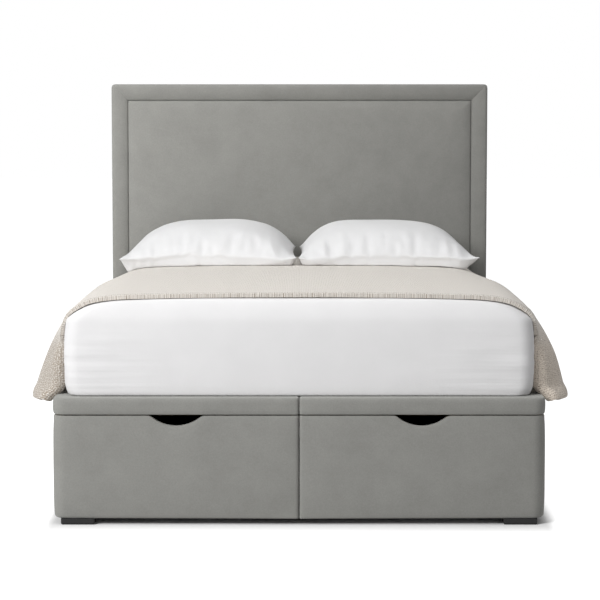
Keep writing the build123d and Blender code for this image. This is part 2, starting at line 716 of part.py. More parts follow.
def strut_frame():
    """Plane whose origin is the lower strut pivot and whose X runs up the strut."""
    run = (0, STRUT_LID_PIVOT[0] - STRUT_PIVOT[0], STRUT_LID_PIVOT[1] - STRUT_PIVOT[1])
    return Plane(origin=(STRUT_X, STRUT_PIVOT[0], STRUT_PIVOT[1]), x_dir=run, z_dir=(1, 0, 0))


def turned(points):
    """A solid of revolution about the strut's length."""
    outline = make_face(Polyline(*points, close=True))
    return revolve(outline, axis=Axis.X)


def strut_blade(eye_at, foot_at, hole):
    """Flat eye at one end of the strut."""
    low = min(eye_at, foot_at)
    high = max(eye_at, foot_at)
    blade = Pos((low + high) / 2, 0) * Rectangle(high - low, 2 * STRUT_COLLAR)
    blade += Pos(eye_at, 0) * Circle(STRUT_EYE)
    blade -= Pos(eye_at, 0) * Circle(hole)
    return Pos(0, 0, -ARM_THICK / 2) * extrude(blade, amount=ARM_THICK)


def struts():
    """Gas strut: tube with gland and end wall, rod with piston, an eye on each."""
    length = hypot(STRUT_LID_PIVOT[0] - STRUT_PIVOT[0], STRUT_LID_PIVOT[1] - STRUT_PIVOT[1])
    bore = STRUT_TUBE - STRUT_WALL
    throat = STRUT_ROD + STRUT_BORE_PLAY
    start = STRUT_TUBE_START
    mouth = start + STRUT_TUBE_LENGTH
    tube = turned([(start - STRUT_COLLAR_LENGTH, 0), (start - STRUT_COLLAR_LENGTH, STRUT_COLLAR),
                   (start, STRUT_COLLAR), (start, STRUT_TUBE), (mouth, STRUT_TUBE),
                   (mouth, throat), (mouth - STRUT_GLAND, throat), (mouth - STRUT_GLAND, bore),
                   (start + STRUT_END_WALL, bore), (start + STRUT_END_WALL, 0)])
    tube += strut_blade(0, start - STRUT_COLLAR_LENGTH / 2, PIN_RADIUS + PIN_PLAY)

    top = length - STRUT_TUBE_START
    piston = STRUT_PISTON_START
    piston_radius = bore - STRUT_BORE_PLAY
    rod = turned([(piston, 0), (piston, piston_radius), (piston + STRUT_PISTON, piston_radius),
                  (piston + STRUT_PISTON, STRUT_ROD), (top, STRUT_ROD), (top, STRUT_COLLAR),
                  (top + STRUT_COLLAR_LENGTH, STRUT_COLLAR), (top + STRUT_COLLAR_LENGTH, 0)])
    rod += strut_blade(length, top + STRUT_COLLAR_LENGTH / 2, PIN_RADIUS + STRUT_PIN_PLAY)
    place = strut_frame().location
    keep_pair("strut_cylinder", place * tube)
    keep_pair("strut_rod", place * rod)


# Soft goods

MATTRESS_BOTTOM = LID_TOP + REST_GAP
MATTRESS_HALF_X = X_OUT - MATTRESS_INSET_SIDE
MATTRESS_FOOT = Y_FOOT + MATTRESS_INSET_FOOT
MATTRESS_HEAD = Y_HEAD - MATTRESS_INSET_HEAD
MATTRESS_TOP = MATTRESS_BOTTOM + MATTRESS_THICK

# Height up the mattress, then how far its side and its ends draw in there, as shares of
# its thickness, half its width and half its length
MATTRESS_SHARES = [
    (0.000, 0.0250, 0.0156),
    (0.034, 0.0139, 0.0083),
    (0.090, 0.0050, 0.0031),
    (0.201, 0.0004, 0.0003),
    (0.419, 0.0000, 0.0000),
    (0.616, 0.0033, 0.0006),
    (0.725, 0.0083, 0.0021),
    (0.786, 0.0139, 0.0042),
    (0.831, 0.0348, 0.0078),
    (0.883, 0.0682, 0.0135),
    (0.928, 0.1099, 0.0198),
    (0.964, 0.1850, 0.0265),
    (0.978, 0.2823, 0.0312),
    (0.990, 0.4729, 0.0374),
    (1.000, 0.7848, 0.0510),
]


def mattress():
    """Crowned block with drawn-in sides: a loft through rounded rectangles."""
    middle = (MATTRESS_FOOT + MATTRESS_HEAD) / 2
    half_y = (MATTRESS_HEAD - MATTRESS_FOOT) / 2
    sections = []
    for rise_share, side_share, end_share in MATTRESS_SHARES:
        half_x = MATTRESS_HALF_X * (1 - side_share)
        reach = half_y * (1 - end_share)
        level = MATTRESS_BOTTOM + MATTRESS_THICK * rise_share
        outline = RectangleRounded(2 * half_x, 2 * reach, MATTRESS_CORNER)
        sections.append(Pos(0, middle, level) * outline)
    keep("mattress", loft(sections, ruled=True))


THROW_FOOT = MATTRESS_FOOT + THROW_FOOT_INSET
THROW_HEAD = MATTRESS_HEAD - THROW_HEAD_INSET + MATTRESS_INSET_HEAD

# Distance along the throw from the foot end, then how far its left and right
# drapes stand out there and how far down they reach, as shares
THROW_SHARES = [
    (0.000, 0.40, 0.40, 0.99, 0.99),
    (0.050, 0.96, 0.98, 1.00, 1.00),
    (0.120, 0.97, 1.00, 1.00, 1.00),
    (0.200, 0.84, 0.88, 1.00, 0.99),
    (0.310, 0.94, 0.93, 0.99, 1.00),
    (0.430, 0.82, 0.82, 1.00, 0.98),
    (0.560, 0.93, 0.96, 0.98, 0.99),
    (0.700, 0.80, 0.84, 0.99, 1.00),
    (0.850, 0.91, 0.89, 0.98, 0.98),
    (1.000, 0.78, 0.80, 0.97, 0.98),
]

# Underside of the throw from the middle to the shoulder: distance out as a share of the
# shoulder's, and fall as a share of the full drop
THROW_TOP_SHARES = [
    (0.200, 0.002),
    (0.484, 0.008),
    (0.713, 0.020),
    (0.810, 0.034),
    (0.886, 0.067),
    (0.927, 0.111),
    (0.961, 0.160),
]
THROW_SHOULDER_SHARE = 0.265

# Drape from the shoulder to the hem: distance out and fall as shares of its own
THROW_DRAPE_SHARES = [
    (0.201, 0.138),
    (0.436, 0.345),
    (0.648, 0.560),
    (0.821, 0.759),
    (1.000, 1.000),
]


def throw_side(out_share, drop_share):
    """Right half of the underside of one throw section, from the shoulder down."""
    top = MATTRESS_TOP + THROW_GAP
    shoulder_x = MATTRESS_HALF_X + THROW_SIDE_GAP
    shoulder_z = top - THROW_DROP * THROW_SHOULDER_SHARE
    flare = THROW_FLARE * out_share
    fall = THROW_DROP * (1 - THROW_SHOULDER_SHARE) * drop_share
    points = [(shoulder_x * place_share, top - THROW_DROP * fall_share)
              for place_share, fall_share in THROW_TOP_SHARES]
    points.append((shoulder_x, shoulder_z))
    points += [(shoulder_x + flare * place_share, shoulder_z - fall * fall_share)
               for place_share, fall_share in THROW_DRAPE_SHARES]
    return points


def moved_out(points, distance):
    """Points of a curve moved square to it, to its left as it is followed."""
    moved = []
    last = len(points) - 1
    for k, (x, z) in enumerate(points):
        before = points[max(k - 1, 0)]
        after = points[min(k + 1, last)]
        run = (after[0] - before[0], after[1] - before[1])
        length = hypot(*run)
        moved.append((x - distance * run[1] / length, z + distance * run[0] / length))
    return moved


def throw_section(y, left_out, right_out, left_drop, right_drop):
    """Closed band: the underside, the outside and both hems."""
    right = throw_side(right_out, right_drop)
    left = [(-x, z) for x, z in reversed(throw_side(left_out, left_drop))]
    under = left + [(0, MATTRESS_TOP + THROW_GAP)] + right
    outside = moved_out(under, THROW_THICK)
    face = make_face([Spline(*under), Line(under[-1], outside[-1]),
                      Spline(*outside), Line(outside[0], under[0])])
    plane = Plane(origin=(0, y, 0), x_dir=(1, 0, 0), z_dir=(0, -1, 0))
    return plane * face


def throw():
    """Knitted throw over the mattress, with its side folds."""
    span = THROW_HEAD - THROW_FOOT
    sections = [throw_section(THROW_FOOT + span * row[0], *row[1:]) for row in THROW_SHARES]
    keep("throw", loft(sections, ruled=True))


PILLOW_X = PILLOW_GAP / 2 + PILLOW_WIDTH / 2
PILLOW_Y = Y_BOARD - PILLOW_FROM_BOARD - PILLOW_DEPTH / 2
PILLOW_REST = MATTRESS_TOP + THROW_GAP + THROW_THICK + REST_GAP

# Place across the pillow, then its depth, crown and sag there, as shares
PILLOW_SHARES = [
    (-1.00, 1.00, 0.05, 0.04),
    (-0.93, 0.965, 0.36, 0.42),
    (-0.76, 0.945, 0.70, 0.80),
    (-0.42, 0.960, 0.95, 0.97),
    (0.00, 0.970, 1.00, 1.00),
    (0.42, 0.960, 0.95, 0.97),
    (0.76, 0.945, 0.70, 0.80),
    (0.93, 0.965, 0.36, 0.42),
    (1.00, 1.00, 0.05, 0.04),
]


def pillow_section(place_share, depth_share, crown_share, sag_share):
    """Lens of two arcs joined by the narrow seam at the front and the back."""
    half = PILLOW_DEPTH / 2 * depth_share
    seam = PILLOW_SEAM / 2
    crown = seam + PILLOW_RISE * crown_share
    sag = seam + PILLOW_SAG * sag_share
    edges = [ThreePointArc((-half, seam), (0, crown), (half, seam)),
             Line((half, seam), (half, -seam)),
             ThreePointArc((half, -seam), (0, -sag), (-half, -seam)),
             Line((-half, -seam), (-half, seam))]
    plane = Plane(origin=(PILLOW_WIDTH / 2 * place_share, 0, 0), x_dir=(0, 1, 0), z_dir=(1, 0, 0))
    return plane * make_face(edges)


def pillows():
    """Two plump pillows that lean back a little towards the headboard."""
    blank = loft([pillow_section(*row) for row in PILLOW_SHARES])
    blank = Rot(PILLOW_TILT, 0, 0) * blank
    lift = PILLOW_REST - blank.bounding_box().min.Z
    keep_pair("pillow", Pos(PILLOW_X, PILLOW_Y, lift) * blank)


def build():
    base_halves()
    base_link_bolts()
    feet()
    lid_halves()
    lid_link_bolts()
    mattress_retainers()
    headboard()
    headboard_bolts()
    arms()
    base_brackets()
    lid_brackets()
    pivot_pins()
    struts()
    mattress()
    throw()
    pillows()


build()
os.makedirs("parts", exist_ok=True)
for name, shape in nodes.items():
    export_step(shape, f"parts/{name}.step")
print(len(nodes), "nodes")
print("lid pivot", LID_PIVOT, "rear pivot", REAR_PIVOT, "front pivot", FRONT_PIVOT)
print("front lid pivot", FRONT_LID_PIVOT, "strut pivot", STRUT_PIVOT)
print("strut lid pivot", STRUT_LID_PIVOT, "planes", REAR_ARM_X, FRONT_ARM_X, STRUT_X)
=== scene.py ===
"""Looks of an upholstered ottoman divan bed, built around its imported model."""

from __future__ import annotations

import json
import logging
from collections.abc import Callable, Sequence
from dataclasses import dataclass
from enum import Enum
from math import atan2, cos, exp, hypot, pi, radians, sin, sqrt

import bmesh
import bpy
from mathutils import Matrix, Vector, noise

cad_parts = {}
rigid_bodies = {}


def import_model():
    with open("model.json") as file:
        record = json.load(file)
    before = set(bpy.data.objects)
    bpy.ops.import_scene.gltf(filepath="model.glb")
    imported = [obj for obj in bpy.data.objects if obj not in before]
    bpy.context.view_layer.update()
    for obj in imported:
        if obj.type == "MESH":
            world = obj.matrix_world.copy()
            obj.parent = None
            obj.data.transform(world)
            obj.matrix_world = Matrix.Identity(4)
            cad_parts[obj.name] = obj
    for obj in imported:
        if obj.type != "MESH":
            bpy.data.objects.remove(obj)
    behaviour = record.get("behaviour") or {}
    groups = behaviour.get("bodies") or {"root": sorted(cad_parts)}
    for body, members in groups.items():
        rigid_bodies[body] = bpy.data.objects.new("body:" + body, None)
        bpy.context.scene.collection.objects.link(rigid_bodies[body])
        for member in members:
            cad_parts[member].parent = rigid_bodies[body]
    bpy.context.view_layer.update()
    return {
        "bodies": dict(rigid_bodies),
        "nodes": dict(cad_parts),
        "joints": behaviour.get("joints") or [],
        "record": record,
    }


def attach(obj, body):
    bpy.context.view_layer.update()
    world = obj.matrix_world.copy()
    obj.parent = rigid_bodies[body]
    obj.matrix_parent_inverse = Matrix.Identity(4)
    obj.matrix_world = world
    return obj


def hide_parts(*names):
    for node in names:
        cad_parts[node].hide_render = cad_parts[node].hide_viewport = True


log = logging.getLogger("divan_bed")

Colour = tuple[float, float, float]
Curve = tuple[tuple[float, float], ...]
Socket = bpy.types.NodeSocket
Edge = bmesh.types.BMEdge
Swell = Callable[[Vector, Vector], float]

X, Y, Z = range(3)

# Places closer than this count as one, in metres
CLOSE = 1e-4

# Most that the ends of an upright or a level edge differ, in metres
STRAIGHT = 1e-5

# The bedding's soft shoulders fall off towards the head end, in metres
HEAD_FALL = 0.024
HEAD_FALL_START = -0.1
HEAD_FALL_END = 0.9
SHOULDER_X = 0.685
SHOULDER_REACH = 0.055


class Side(Enum):
    """Side of the bed, seen from its foot end."""

    LEFT = -1
    RIGHT = 1

    @property
    def label(self) -> str:
        """Name used at the front of a piece's name."""
        return self.name.lower()


class Grain(Enum):
    """Direction in which a board's grain runs: its stretch along X, Y and Z."""

    ALONG_BED = (9.0, 0.7, 9.0)
    ACROSS_BED = (0.7, 9.0, 9.0)


def smooth_step(low: float, high: float, value: float) -> float:
    """Rise from 0 at low to 1 at high, level at both ends.

    Args:
        low: Where the rise starts.
        high: Where the rise ends.
        value: Where to read it.

    Returns:
        A share from 0 to 1.
    """
    share = min(max((value - low) / (high - low), 0.0), 1.0)
    return share * share * (3.0 - 2.0 * share)


def bell(value: float, centre: float, reach: float) -> float:
    """Share that is 1 at a centre and fades out over a reach on both sides."""
    return exp(-((value - centre) / reach) ** 2)


def through(points: Sequence[tuple[float, float]], place: float) -> float:
    """Read a smooth curve that passes through a few points.

    Args:
        points: Place and value of each point, in order of place.
        place: Where to read the curve.

    Returns:
        The curve's value there, level beyond its ends.
    """
    if place <= points[0][0]:
        return points[0][1]
    if place >= points[-1][0]:
        return points[-1][1]
    at = next(k for k in range(1, len(points)) if points[k][0] >= place)
    earlier = points[max(at - 2, 0)]
    start = points[at - 1]
    end = points[at]
    later = points[min(at + 1, len(points) - 1)]
    span = end[0] - start[0]
    slope_in = (end[1] - earlier[1]) / (end[0] - earlier[0])
    slope_out = (later[1] - start[1]) / (later[0] - start[0])
    t = (place - start[0]) / span
    t2 = t * t
    t3 = t2 * t
    return ((2 * t3 - 3 * t2 + 1) * start[1] + (t3 - 2 * t2 + t) * span * slope_in
            + (3 * t2 - 2 * t3) * end[1] + (t3 - t2) * span * slope_out)


def ripple(point: Vector, size: float, seed: float) -> float:
    """Smooth noise from about -1 to 1.

    Args:
        point: Place in metres.
        size: Distance between its swells, in metres.
        seed: Shift that makes one piece's noise differ from another's.

    Returns:
        The noise there.
    """
    return noise.noise(point / size + Vector((seed, seed * 0.37, seed * 1.71)))


def head_fall(x: float, y: float) -> float:
    """How far the bedding's shoulders have fallen off at a place on the bed, in metres."""
    share = smooth_step(HEAD_FALL_START, HEAD_FALL_END, y)
    return HEAD_FALL * share * bell(abs(x), SHOULDER_X, SHOULDER_REACH)


def between(low: float, high: float, gap: float) -> list[float]:
    """Evenly spaced places between two ends, about gap apart and without the ends."""
    count = max(int(round((high - low) / gap)), 1)
    return [low + (high - low) * k / count for k in range(1, count)]


def upright(edge: Edge) -> bool:
    """Whether an edge stands straight up."""
    start, end = (vert.co for vert in edge.verts)
    return abs(start.x - end.x) + abs(start.y - end.y) < STRAIGHT


def level(edge: Edge) -> bool:
    """Whether an edge's ends are equally high."""
    return abs(edge.verts[0].co.z - edge.verts[1].co.z) < STRAIGHT


def before(edge: Edge, axis: int, place: float) -> bool:
    """Whether both ends of an edge come before a place on an axis, or are at it."""
    return all(vert.co[axis] < place + CLOSE for vert in edge.verts)


def after(edge: Edge, axis: int, place: float) -> bool:
    """Whether both ends of an edge come after a place on an axis, or are at it."""
    return all(vert.co[axis] > place - CLOSE for vert in edge.verts)


class Tree:
    """A node tree, with short calls for the nodes that the finishes share."""

    def __init__(self, tree: bpy.types.NodeTree) -> None:
        """Take up a node tree."""
        self.tree = tree

    def add(self, kind: str, **values: object) -> bpy.types.Node:
        """Add a node.

        Args:
            kind: Blender's name of the node type.
            values: Its settings.

        Returns:
            The new node.
        """
        node = self.tree.nodes.new(kind)
        for key, value in values.items():
            setattr(node, key, value)
        return node

    def join(self, source: Socket, target: Socket) -> None:
        """Link an output to an input."""
        self.tree.links.new(source, target)

    def sum(self, kind: str, first: float | Socket, second: float | Socket = 0.0) -> Socket:
        """Work out a value from one or two others.

        Args:
            kind: Blender's name of the operation.
            first: A number or an output.
            second: A number or an output.

        Returns:
            The result's output.
        """
        node = self.add("ShaderNodeMath", operation=kind)
        for slot, value in zip(node.inputs, (first, second)):
            if isinstance(value, (int, float)):
                slot.default_value = value
            else:
                self.join(value, slot)
        return node.outputs[0]

    def times(self, first: float | Socket, second: float | Socket) -> Socket:
        """Multiply two values."""
        return self.sum("MULTIPLY", first, second)

    def plus(self, first: float | Socket, second: float | Socket) -> Socket:
        """Add two values."""
        return self.sum("ADD", first, second)

    def less(self, first: float | Socket, second: float | Socket) -> Socket:
        """Take the second value from the first."""
        return self.sum("SUBTRACT", first, second)

    def spread(self, value: Socket, low: float, high: float, start: float = 0.0,
               end: float = 1.0, curve: str = "LINEAR") -> Socket:
        """Carry a value from one range to another, held at both ends.

        Args:
            value: The value.
            low: Result at the start.
            high: Result at the end.
            start: Value that gives low.
            end: Value that gives high.
            curve: Blender's name of the way in between.

        Returns:
            The result's output.
        """
        node = self.add("ShaderNodeMapRange", interpolation_type=curve)
        for name, number in (("From Min", start), ("From Max", end), ("To Min", low),
                             ("To Max", high)):
            node.inputs[name].default_value = number
        self.join(value, node.inputs["Value"])
        return node.outputs["Result"]

    def looked_at(self) -> Socket:
        """1 where the camera sees a surface, also in a mirror or through glass, and 0 as light.

        Returns:
            The share's output.
        """
        rays = self.add("ShaderNodeLightPath").outputs
        mirrored = self.sum("MAXIMUM", rays["Is Glossy Ray"], rays["Is Transmission Ray"])
        return self.sum("MAXIMUM", rays["Is Camera Ray"], mirrored)


class Nodes(Tree):
    """A material's node tree round its Principled shader."""

    def __init__(self, name: str) -> None:
        """Start a material.

        Args:
            name: The material's name.
        """
        self.material = bpy.data.materials.new(name)
        self.material.use_nodes = True
        super().__init__(self.material.node_tree)
        self.shader = self.tree.nodes["Principled BSDF"]

    def places(self, stretch: Sequence[float] = (1.0, 1.0, 1.0), own_map: bool = False) -> Socket:
        """Pattern coordinates in metres.

        Args:
            stretch: Factor along each direction.
            own_map: Whether they follow the piece's own UV map.

        Returns:
            The coordinates' output.
        """
        source = self.add("ShaderNodeTexCoord").outputs["UV" if own_map else "Object"]
        mapping = self.add("ShaderNodeMapping")
        mapping.inputs["Scale"].default_value = stretch
        self.join(source, mapping.inputs["Vector"])
        return mapping.outputs["Vector"]

    def parts(self, where: Socket) -> tuple[Socket, Socket, Socket]:
        """Take coordinates apart.

        Args:
            where: Coordinates.

        Returns:
            The outputs of their X, Y and Z.
        """
        node = self.add("ShaderNodeSeparateXYZ")
        self.join(where, node.inputs[0])
        return tuple(node.outputs)

    def grain(self, where: Socket, scale: float, detail: float = 3.0, rough: float = 0.55
              ) -> Socket:
        """Noise from 0 to 1.

        Args:
            where: Coordinates.
            scale: Swells to the metre.
            detail: Octaves.
            rough: Strength of the finer octaves.

        Returns:
            The noise's output.
        """
        node = self.add("ShaderNodeTexNoise")
        node.inputs["Scale"].default_value = scale
        node.inputs["Detail"].default_value = detail
        node.inputs["Roughness"].default_value = rough
        self.join(where, node.inputs["Vector"])
        return node.outputs["Fac"]

    def shades(self, share: Socket, stops: Sequence[tuple[float, Colour]]) -> Socket:
        """Turn a value into a colour.

        Args:
            share: The value.
            stops: Place and colour of each stop.

        Returns:
            The colour's output.
        """
        ramp = self.add("ShaderNodeValToRGB")
        elements = ramp.color_ramp.elements
        while len(elements) < len(stops):
            elements.new(0.5)
        for element, (place, colour) in zip(elements, stops):
            element.position = place
            element.color = (*colour, 1.0)
        self.join(share, ramp.inputs["Fac"])
        return ramp.outputs["Color"]

    def relief(self, height: Socket, depth: float, strength: float,
               under: Socket | None = None) -> Socket:
        """Bump the surface.

        Args:
            height: Height pattern from 0 to 1.
            depth: Height of a step of 1, in metres.
            strength: Share of the bump.
            under: Bump that this one lies on.

        Returns:
            The bumped normal's output.
        """
        bump = self.add("ShaderNodeBump")
        bump.inputs["Distance"].default_value = depth
        bump.inputs["Strength"].default_value = strength
        self.join(height, bump.inputs["Height"])
        if under is not None:
            self.join(under, bump.inputs["Normal"])
        return bump.outputs["Normal"]

    def use(self, **sockets: object) -> bpy.types.Material:
        """Set or link the shader's inputs.

        Args:
            sockets: Input names with _ for a space, and their numbers, colours or outputs.

        Returns:
            The material.
        """
        for key, value in sockets.items():
            slot = self.shader.inputs[key.replace("_", " ")]
            if isinstance(value, bpy.types.NodeSocket):
                self.join(value, slot)
            else:
                slot.default_value = value
        return self.material


def tint(colour: Colour, factor: float) -> Colour:
    """A lighter or darker copy of a colour."""
    return tuple(min(part * factor, 1.0) for part in colour)


@dataclass(frozen=True)
class Velvet:
    """Short-pile upholstery velvet with brushed patches, and a painted falloff of light from left
    to right across the bed.
    """

    name: str = "grey_velvet"
    colour: Colour = (0.268, 0.266, 0.250)
    pile: float = 900.0
    flecks: float = 225.0
    patches: float = 11.0
    contrast: float = 0.10
    nap_depth: float = 0.0009
    patch_depth: float = 0.004
    # Painted light: factor on the colour at the left and at the right reach from the bed's
    # middle, standing in for the lamp's falloff
    painted_light_left: float = 1.0
    painted_light_right: float = 1.0
    reach: float = 0.75

    def make(self) -> bpy.types.Material:
        """Build the material.

        Returns:
            The material.
        """
        nodes = Nodes(self.name)
        where = nodes.places()
        fine = nodes.grain(where, self.pile, detail=2.0)
        flecks = nodes.grain(where, self.flecks, rough=0.7)
        brushed = nodes.grain(where, self.patches, detail=5.0, rough=0.65)
        both = nodes.plus(nodes.times(flecks, 0.5), nodes.times(brushed, 0.5))
        # Painted light: the colour is scaled from left to right, standing in for the lamp's
        # falloff across the bed
        painted_falloff = nodes.spread(nodes.parts(where)[X], self.painted_light_left, self.painted_light_right,
                           -self.reach, self.reach)
        shaded = nodes.add("ShaderNodeVectorMath", operation="SCALE")
        nodes.join(nodes.shades(both, [
            (0.34, tint(self.colour, 1.0 - self.contrast)),
            (0.50, self.colour),
            (0.66, tint(self.colour, 1.0 + self.contrast)),
        ]), shaded.inputs["Vector"])
        nodes.join(painted_falloff, shaded.inputs["Scale"])
        return nodes.use(
            Base_Color=shaded.outputs["Vector"],
            Roughness=0.92,
            Specular_IOR_Level=0.15,
            Sheen_Weight=0.35,
            Sheen_Roughness=0.55,
            Sheen_Tint=(0.9, 0.92, 0.88, 1.0),
            Normal=nodes.relief(fine, self.nap_depth, 0.35,
                                nodes.relief(brushed, self.patch_depth, 0.25)),
        )


@dataclass(frozen=True)
class Cotton:
    """Plain woven cotton, with pull lines low near the bed's sides where it is stretched, and a
    little painted shade in the hollows of its creases.
    """

    name: str
    colour: Colour
    creases: float = 9.0
    crease_depth: float = 0.003
    thread: float = 0.0009
    thread_depth: float = 0.0001
    pull_depth: float = 0.0
    pull_stretch: tuple[float, float, float] = (1.1, 1.1, 34.0)
    # The pull lines grow from start to full going outwards, and from top to low going down
    pull_start: float = 0.38
    pull_full: float = 0.68
    pull_top: float = 0.60
    pull_low: float = 0.50

    def make(self) -> bpy.types.Material:
        """Build the material.

        Returns:
            The material.
        """
        nodes = Nodes(self.name)
        where = nodes.places()
        x, y, z = nodes.parts(where)
        turn = 2 * pi / self.thread
        warp = nodes.sum("SINE", nodes.times(x, turn))
        weft = nodes.sum("SINE", nodes.times(nodes.plus(z, y), turn))
        soft = nodes.grain(where, self.creases, detail=4.0, rough=0.5)
        folds = nodes.relief(soft, self.crease_depth, 0.3)
        if self.pull_depth > 0.0:
            streaks = nodes.grain(nodes.places(self.pull_stretch), 1.0, detail=2.0, rough=0.5)
            edge = nodes.spread(nodes.sum("ABSOLUTE", x), 0.0, 1.0,
                                self.pull_start, self.pull_full)
            low = nodes.spread(z, 0.0, 1.0, self.pull_top, self.pull_low)
            pulls = nodes.times(streaks, nodes.times(edge, low))
            folds = nodes.relief(pulls, self.pull_depth, 1.0, folds)
        return nodes.use(
            # Painted shade: the crease noise makes the colour a little darker in the creases'
            # hollows and lighter on their ridges
            Base_Color=nodes.shades(soft, [
                (0.30, tint(self.colour, 0.975)),
                (0.70, tint(self.colour, 1.01)),
            ]),
            Roughness=0.88,
            Specular_IOR_Level=0.2,
            Sheen_Weight=0.12,
            Sheen_Roughness=0.5,
            Normal=nodes.relief(nodes.times(warp, weft), self.thread_depth, 0.25, folds),
        )


@dataclass(frozen=True)
class RibKnit:
    """Nubbly rib knit in a mixed beige yarn, with a coarser front border and drapes, painted
    shade on the left drape, painted light with a warmer tint on the right drape, and painted
    light on the plain top.
    """

    name: str = "beige_rib_knit"
    light: Colour = (0.76, 0.715, 0.655)
    dark: Colour = (0.36, 0.295, 0.230)
    rib: float = 0.0056
    stitch: float = 0.0062
    slant: float = 2.4
    wander: float = 90.0
    fuzz: float = 700.0
    nubs: float = 260.0
    depth: float = 0.0028
    yarn_height: float = 0.8
    nub_height: float = 0.9
    # Distance from the front edge over which the border is coarse
    band: float = 0.050
    # A drape turns coarse between these runs from the middle, and fades to plain again
    # between these distances from the front edge
    drape_start: float = 0.74
    drape_end: float = 0.84
    fade_start: float = 0.10
    fade_end: float = 0.34
    # Speckle of the plain part, and what the coarse part adds; how much darker the coarse part
    # is; then painted light on the plain top, painted shade on the left drape, and painted light
    # with a warmer tint on the right drape
    speckle: float = 0.9
    coarse_speckle: float = 1.8
    coarse_deeper: float = 0.02
    plain_painted_light: float = 0.30
    left_painted_shade: float = 0.32
    right_painted_light: float = 0.08
    right_painted_warmth: Colour = (1.05, 0.985, 0.92)

    def make(self) -> bpy.types.Material:
        """Build the material.

        Returns:
            The material.
        """
        nodes = Nodes(self.name)
        where = nodes.places(own_map=True)
        x, y, _ = nodes.parts(where)
        shift = nodes.times(nodes.grain(where, self.wander, detail=2.0), self.rib)
        across = nodes.plus(x, shift)
        along = nodes.less(y, shift)
        ribs = nodes.sum("ABSOLUTE", nodes.sum("SINE", nodes.times(across, pi / self.rib)))
        slanted = nodes.plus(nodes.times(along, 2 * pi / self.stitch),
                             nodes.times(ribs, self.slant))
        loops = nodes.times(nodes.plus(nodes.sum("SINE", slanted), 1.0), 0.5)
        yarn = nodes.plus(nodes.times(ribs, 0.5), nodes.times(loops, 0.5))
        fuzz = nodes.grain(where, self.fuzz, detail=2.0, rough=0.7)
        nubs = nodes.grain(where, self.nubs, detail=2.0, rough=0.8)
        fade = nodes.spread(y, 0.0, 1.0, self.fade_end, self.fade_start)
        left, right = (nodes.times(fade, nodes.spread(
            x, 0.0, 1.0, sign * self.drape_start, sign * self.drape_end)) for sign in (-1, 1))
        front = nodes.spread(y, 0.0, 1.0, self.band, self.band * 0.6)
        coarse = nodes.sum("MAXIMUM", front, nodes.plus(left, right))
        speckle = nodes.plus(self.speckle, nodes.times(coarse, self.coarse_speckle))
        tone = nodes.plus(nodes.times(yarn, 0.5), nodes.times(nodes.less(nubs, 0.5), speckle))
        tone = nodes.plus(tone, nodes.times(fuzz, 0.3))
        tone = nodes.less(tone, nodes.times(coarse, self.coarse_deeper))
        # Painted shade darkens the left drape; painted light lightens the right drape and the
        # plain top
        tone = nodes.less(tone, nodes.times(left, self.left_painted_shade))
        tone = nodes.plus(tone, nodes.times(right, self.right_painted_light))
        tone = nodes.plus(tone, nodes.times(nodes.less(1.0, coarse), self.plain_painted_light))
        height = nodes.plus(nodes.times(yarn, self.yarn_height),
                            nodes.times(nubs, self.nub_height))
        # Painted light: the right drape's colour is also tinted warmer
        painted_warmth_mix = nodes.add("ShaderNodeMix", data_type="RGBA", blend_type="MULTIPLY")
        nodes.join(right, painted_warmth_mix.inputs["Factor"])
        nodes.join(nodes.shades(tone, [
            (0.00, self.dark),
            (0.26, tint(self.light, 0.84)),
            (0.46, self.light),
            (0.85, tint(self.light, 1.10)),
        ]), painted_warmth_mix.inputs[6])
        painted_warmth_mix.inputs[7].default_value = (*self.right_painted_warmth, 1.0)
        return nodes.use(
            Base_Color=painted_warmth_mix.outputs[2],
            Roughness=0.95,
            Specular_IOR_Level=0.1,
            Sheen_Weight=0.3,
            Sheen_Roughness=0.7,
            Normal=nodes.relief(height, self.depth, 0.8),
        )


@dataclass(frozen=True)
class Board:
    """Planed pale timber."""

    grain: Grain
    colour: Colour = (0.60, 0.44, 0.27)
    rings: float = 3.0
    fibres: float = 45.0
    fibre_depth: float = 0.0006

    def make(self) -> bpy.types.Material:
        """Build the material.

        Returns:
            The material.
        """
        nodes = Nodes("pale_timber_" + self.grain.name.lower())
        where = nodes.places(self.grain.value)
        rings = nodes.grain(where, self.rings, detail=4.0, rough=0.6)
        fibres = nodes.grain(where, self.fibres, rough=0.7)
        tone = nodes.plus(nodes.times(rings, 0.7), nodes.times(fibres, 0.3))
        return nodes.use(
            Base_Color=nodes.shades(tone, [
                (0.35, tint(self.colour, 0.72)),
                (0.50, self.colour),
                (0.66, tint(self.colour, 1.14)),
            ]),
            Roughness=0.68,
            Normal=nodes.relief(fibres, self.fibre_depth, 0.3),
        )


@dataclass(frozen=True)
class Hard:
    """Plain hard finish, such as coated steel, zinc plate or moulded plastic."""

    name: str
    colour: Colour
    metal: float
    rough: float
    texture: float
    texture_depth: float = 0.0002
    wear: float = 25.0

    def make(self) -> bpy.types.Material:
        """Build the material.

        Returns:
            The material.
        """
        nodes = Nodes(self.name)
        where = nodes.places()
        fine = nodes.grain(where, self.texture, rough=0.6)
        wear = nodes.grain(where, self.wear, detail=4.0, rough=0.6)
        return nodes.use(
            Base_Color=nodes.shades(wear, [
                (0.3, tint(self.colour, 0.88)),
                (0.7, tint(self.colour, 1.1)),
            ]),
            Metallic=self.metal,
            Roughness=nodes.spread(wear, self.rough * 0.85, min(self.rough * 1.2, 1.0)),
            Normal=nodes.relief(fine, self.texture_depth, 0.3),
        )


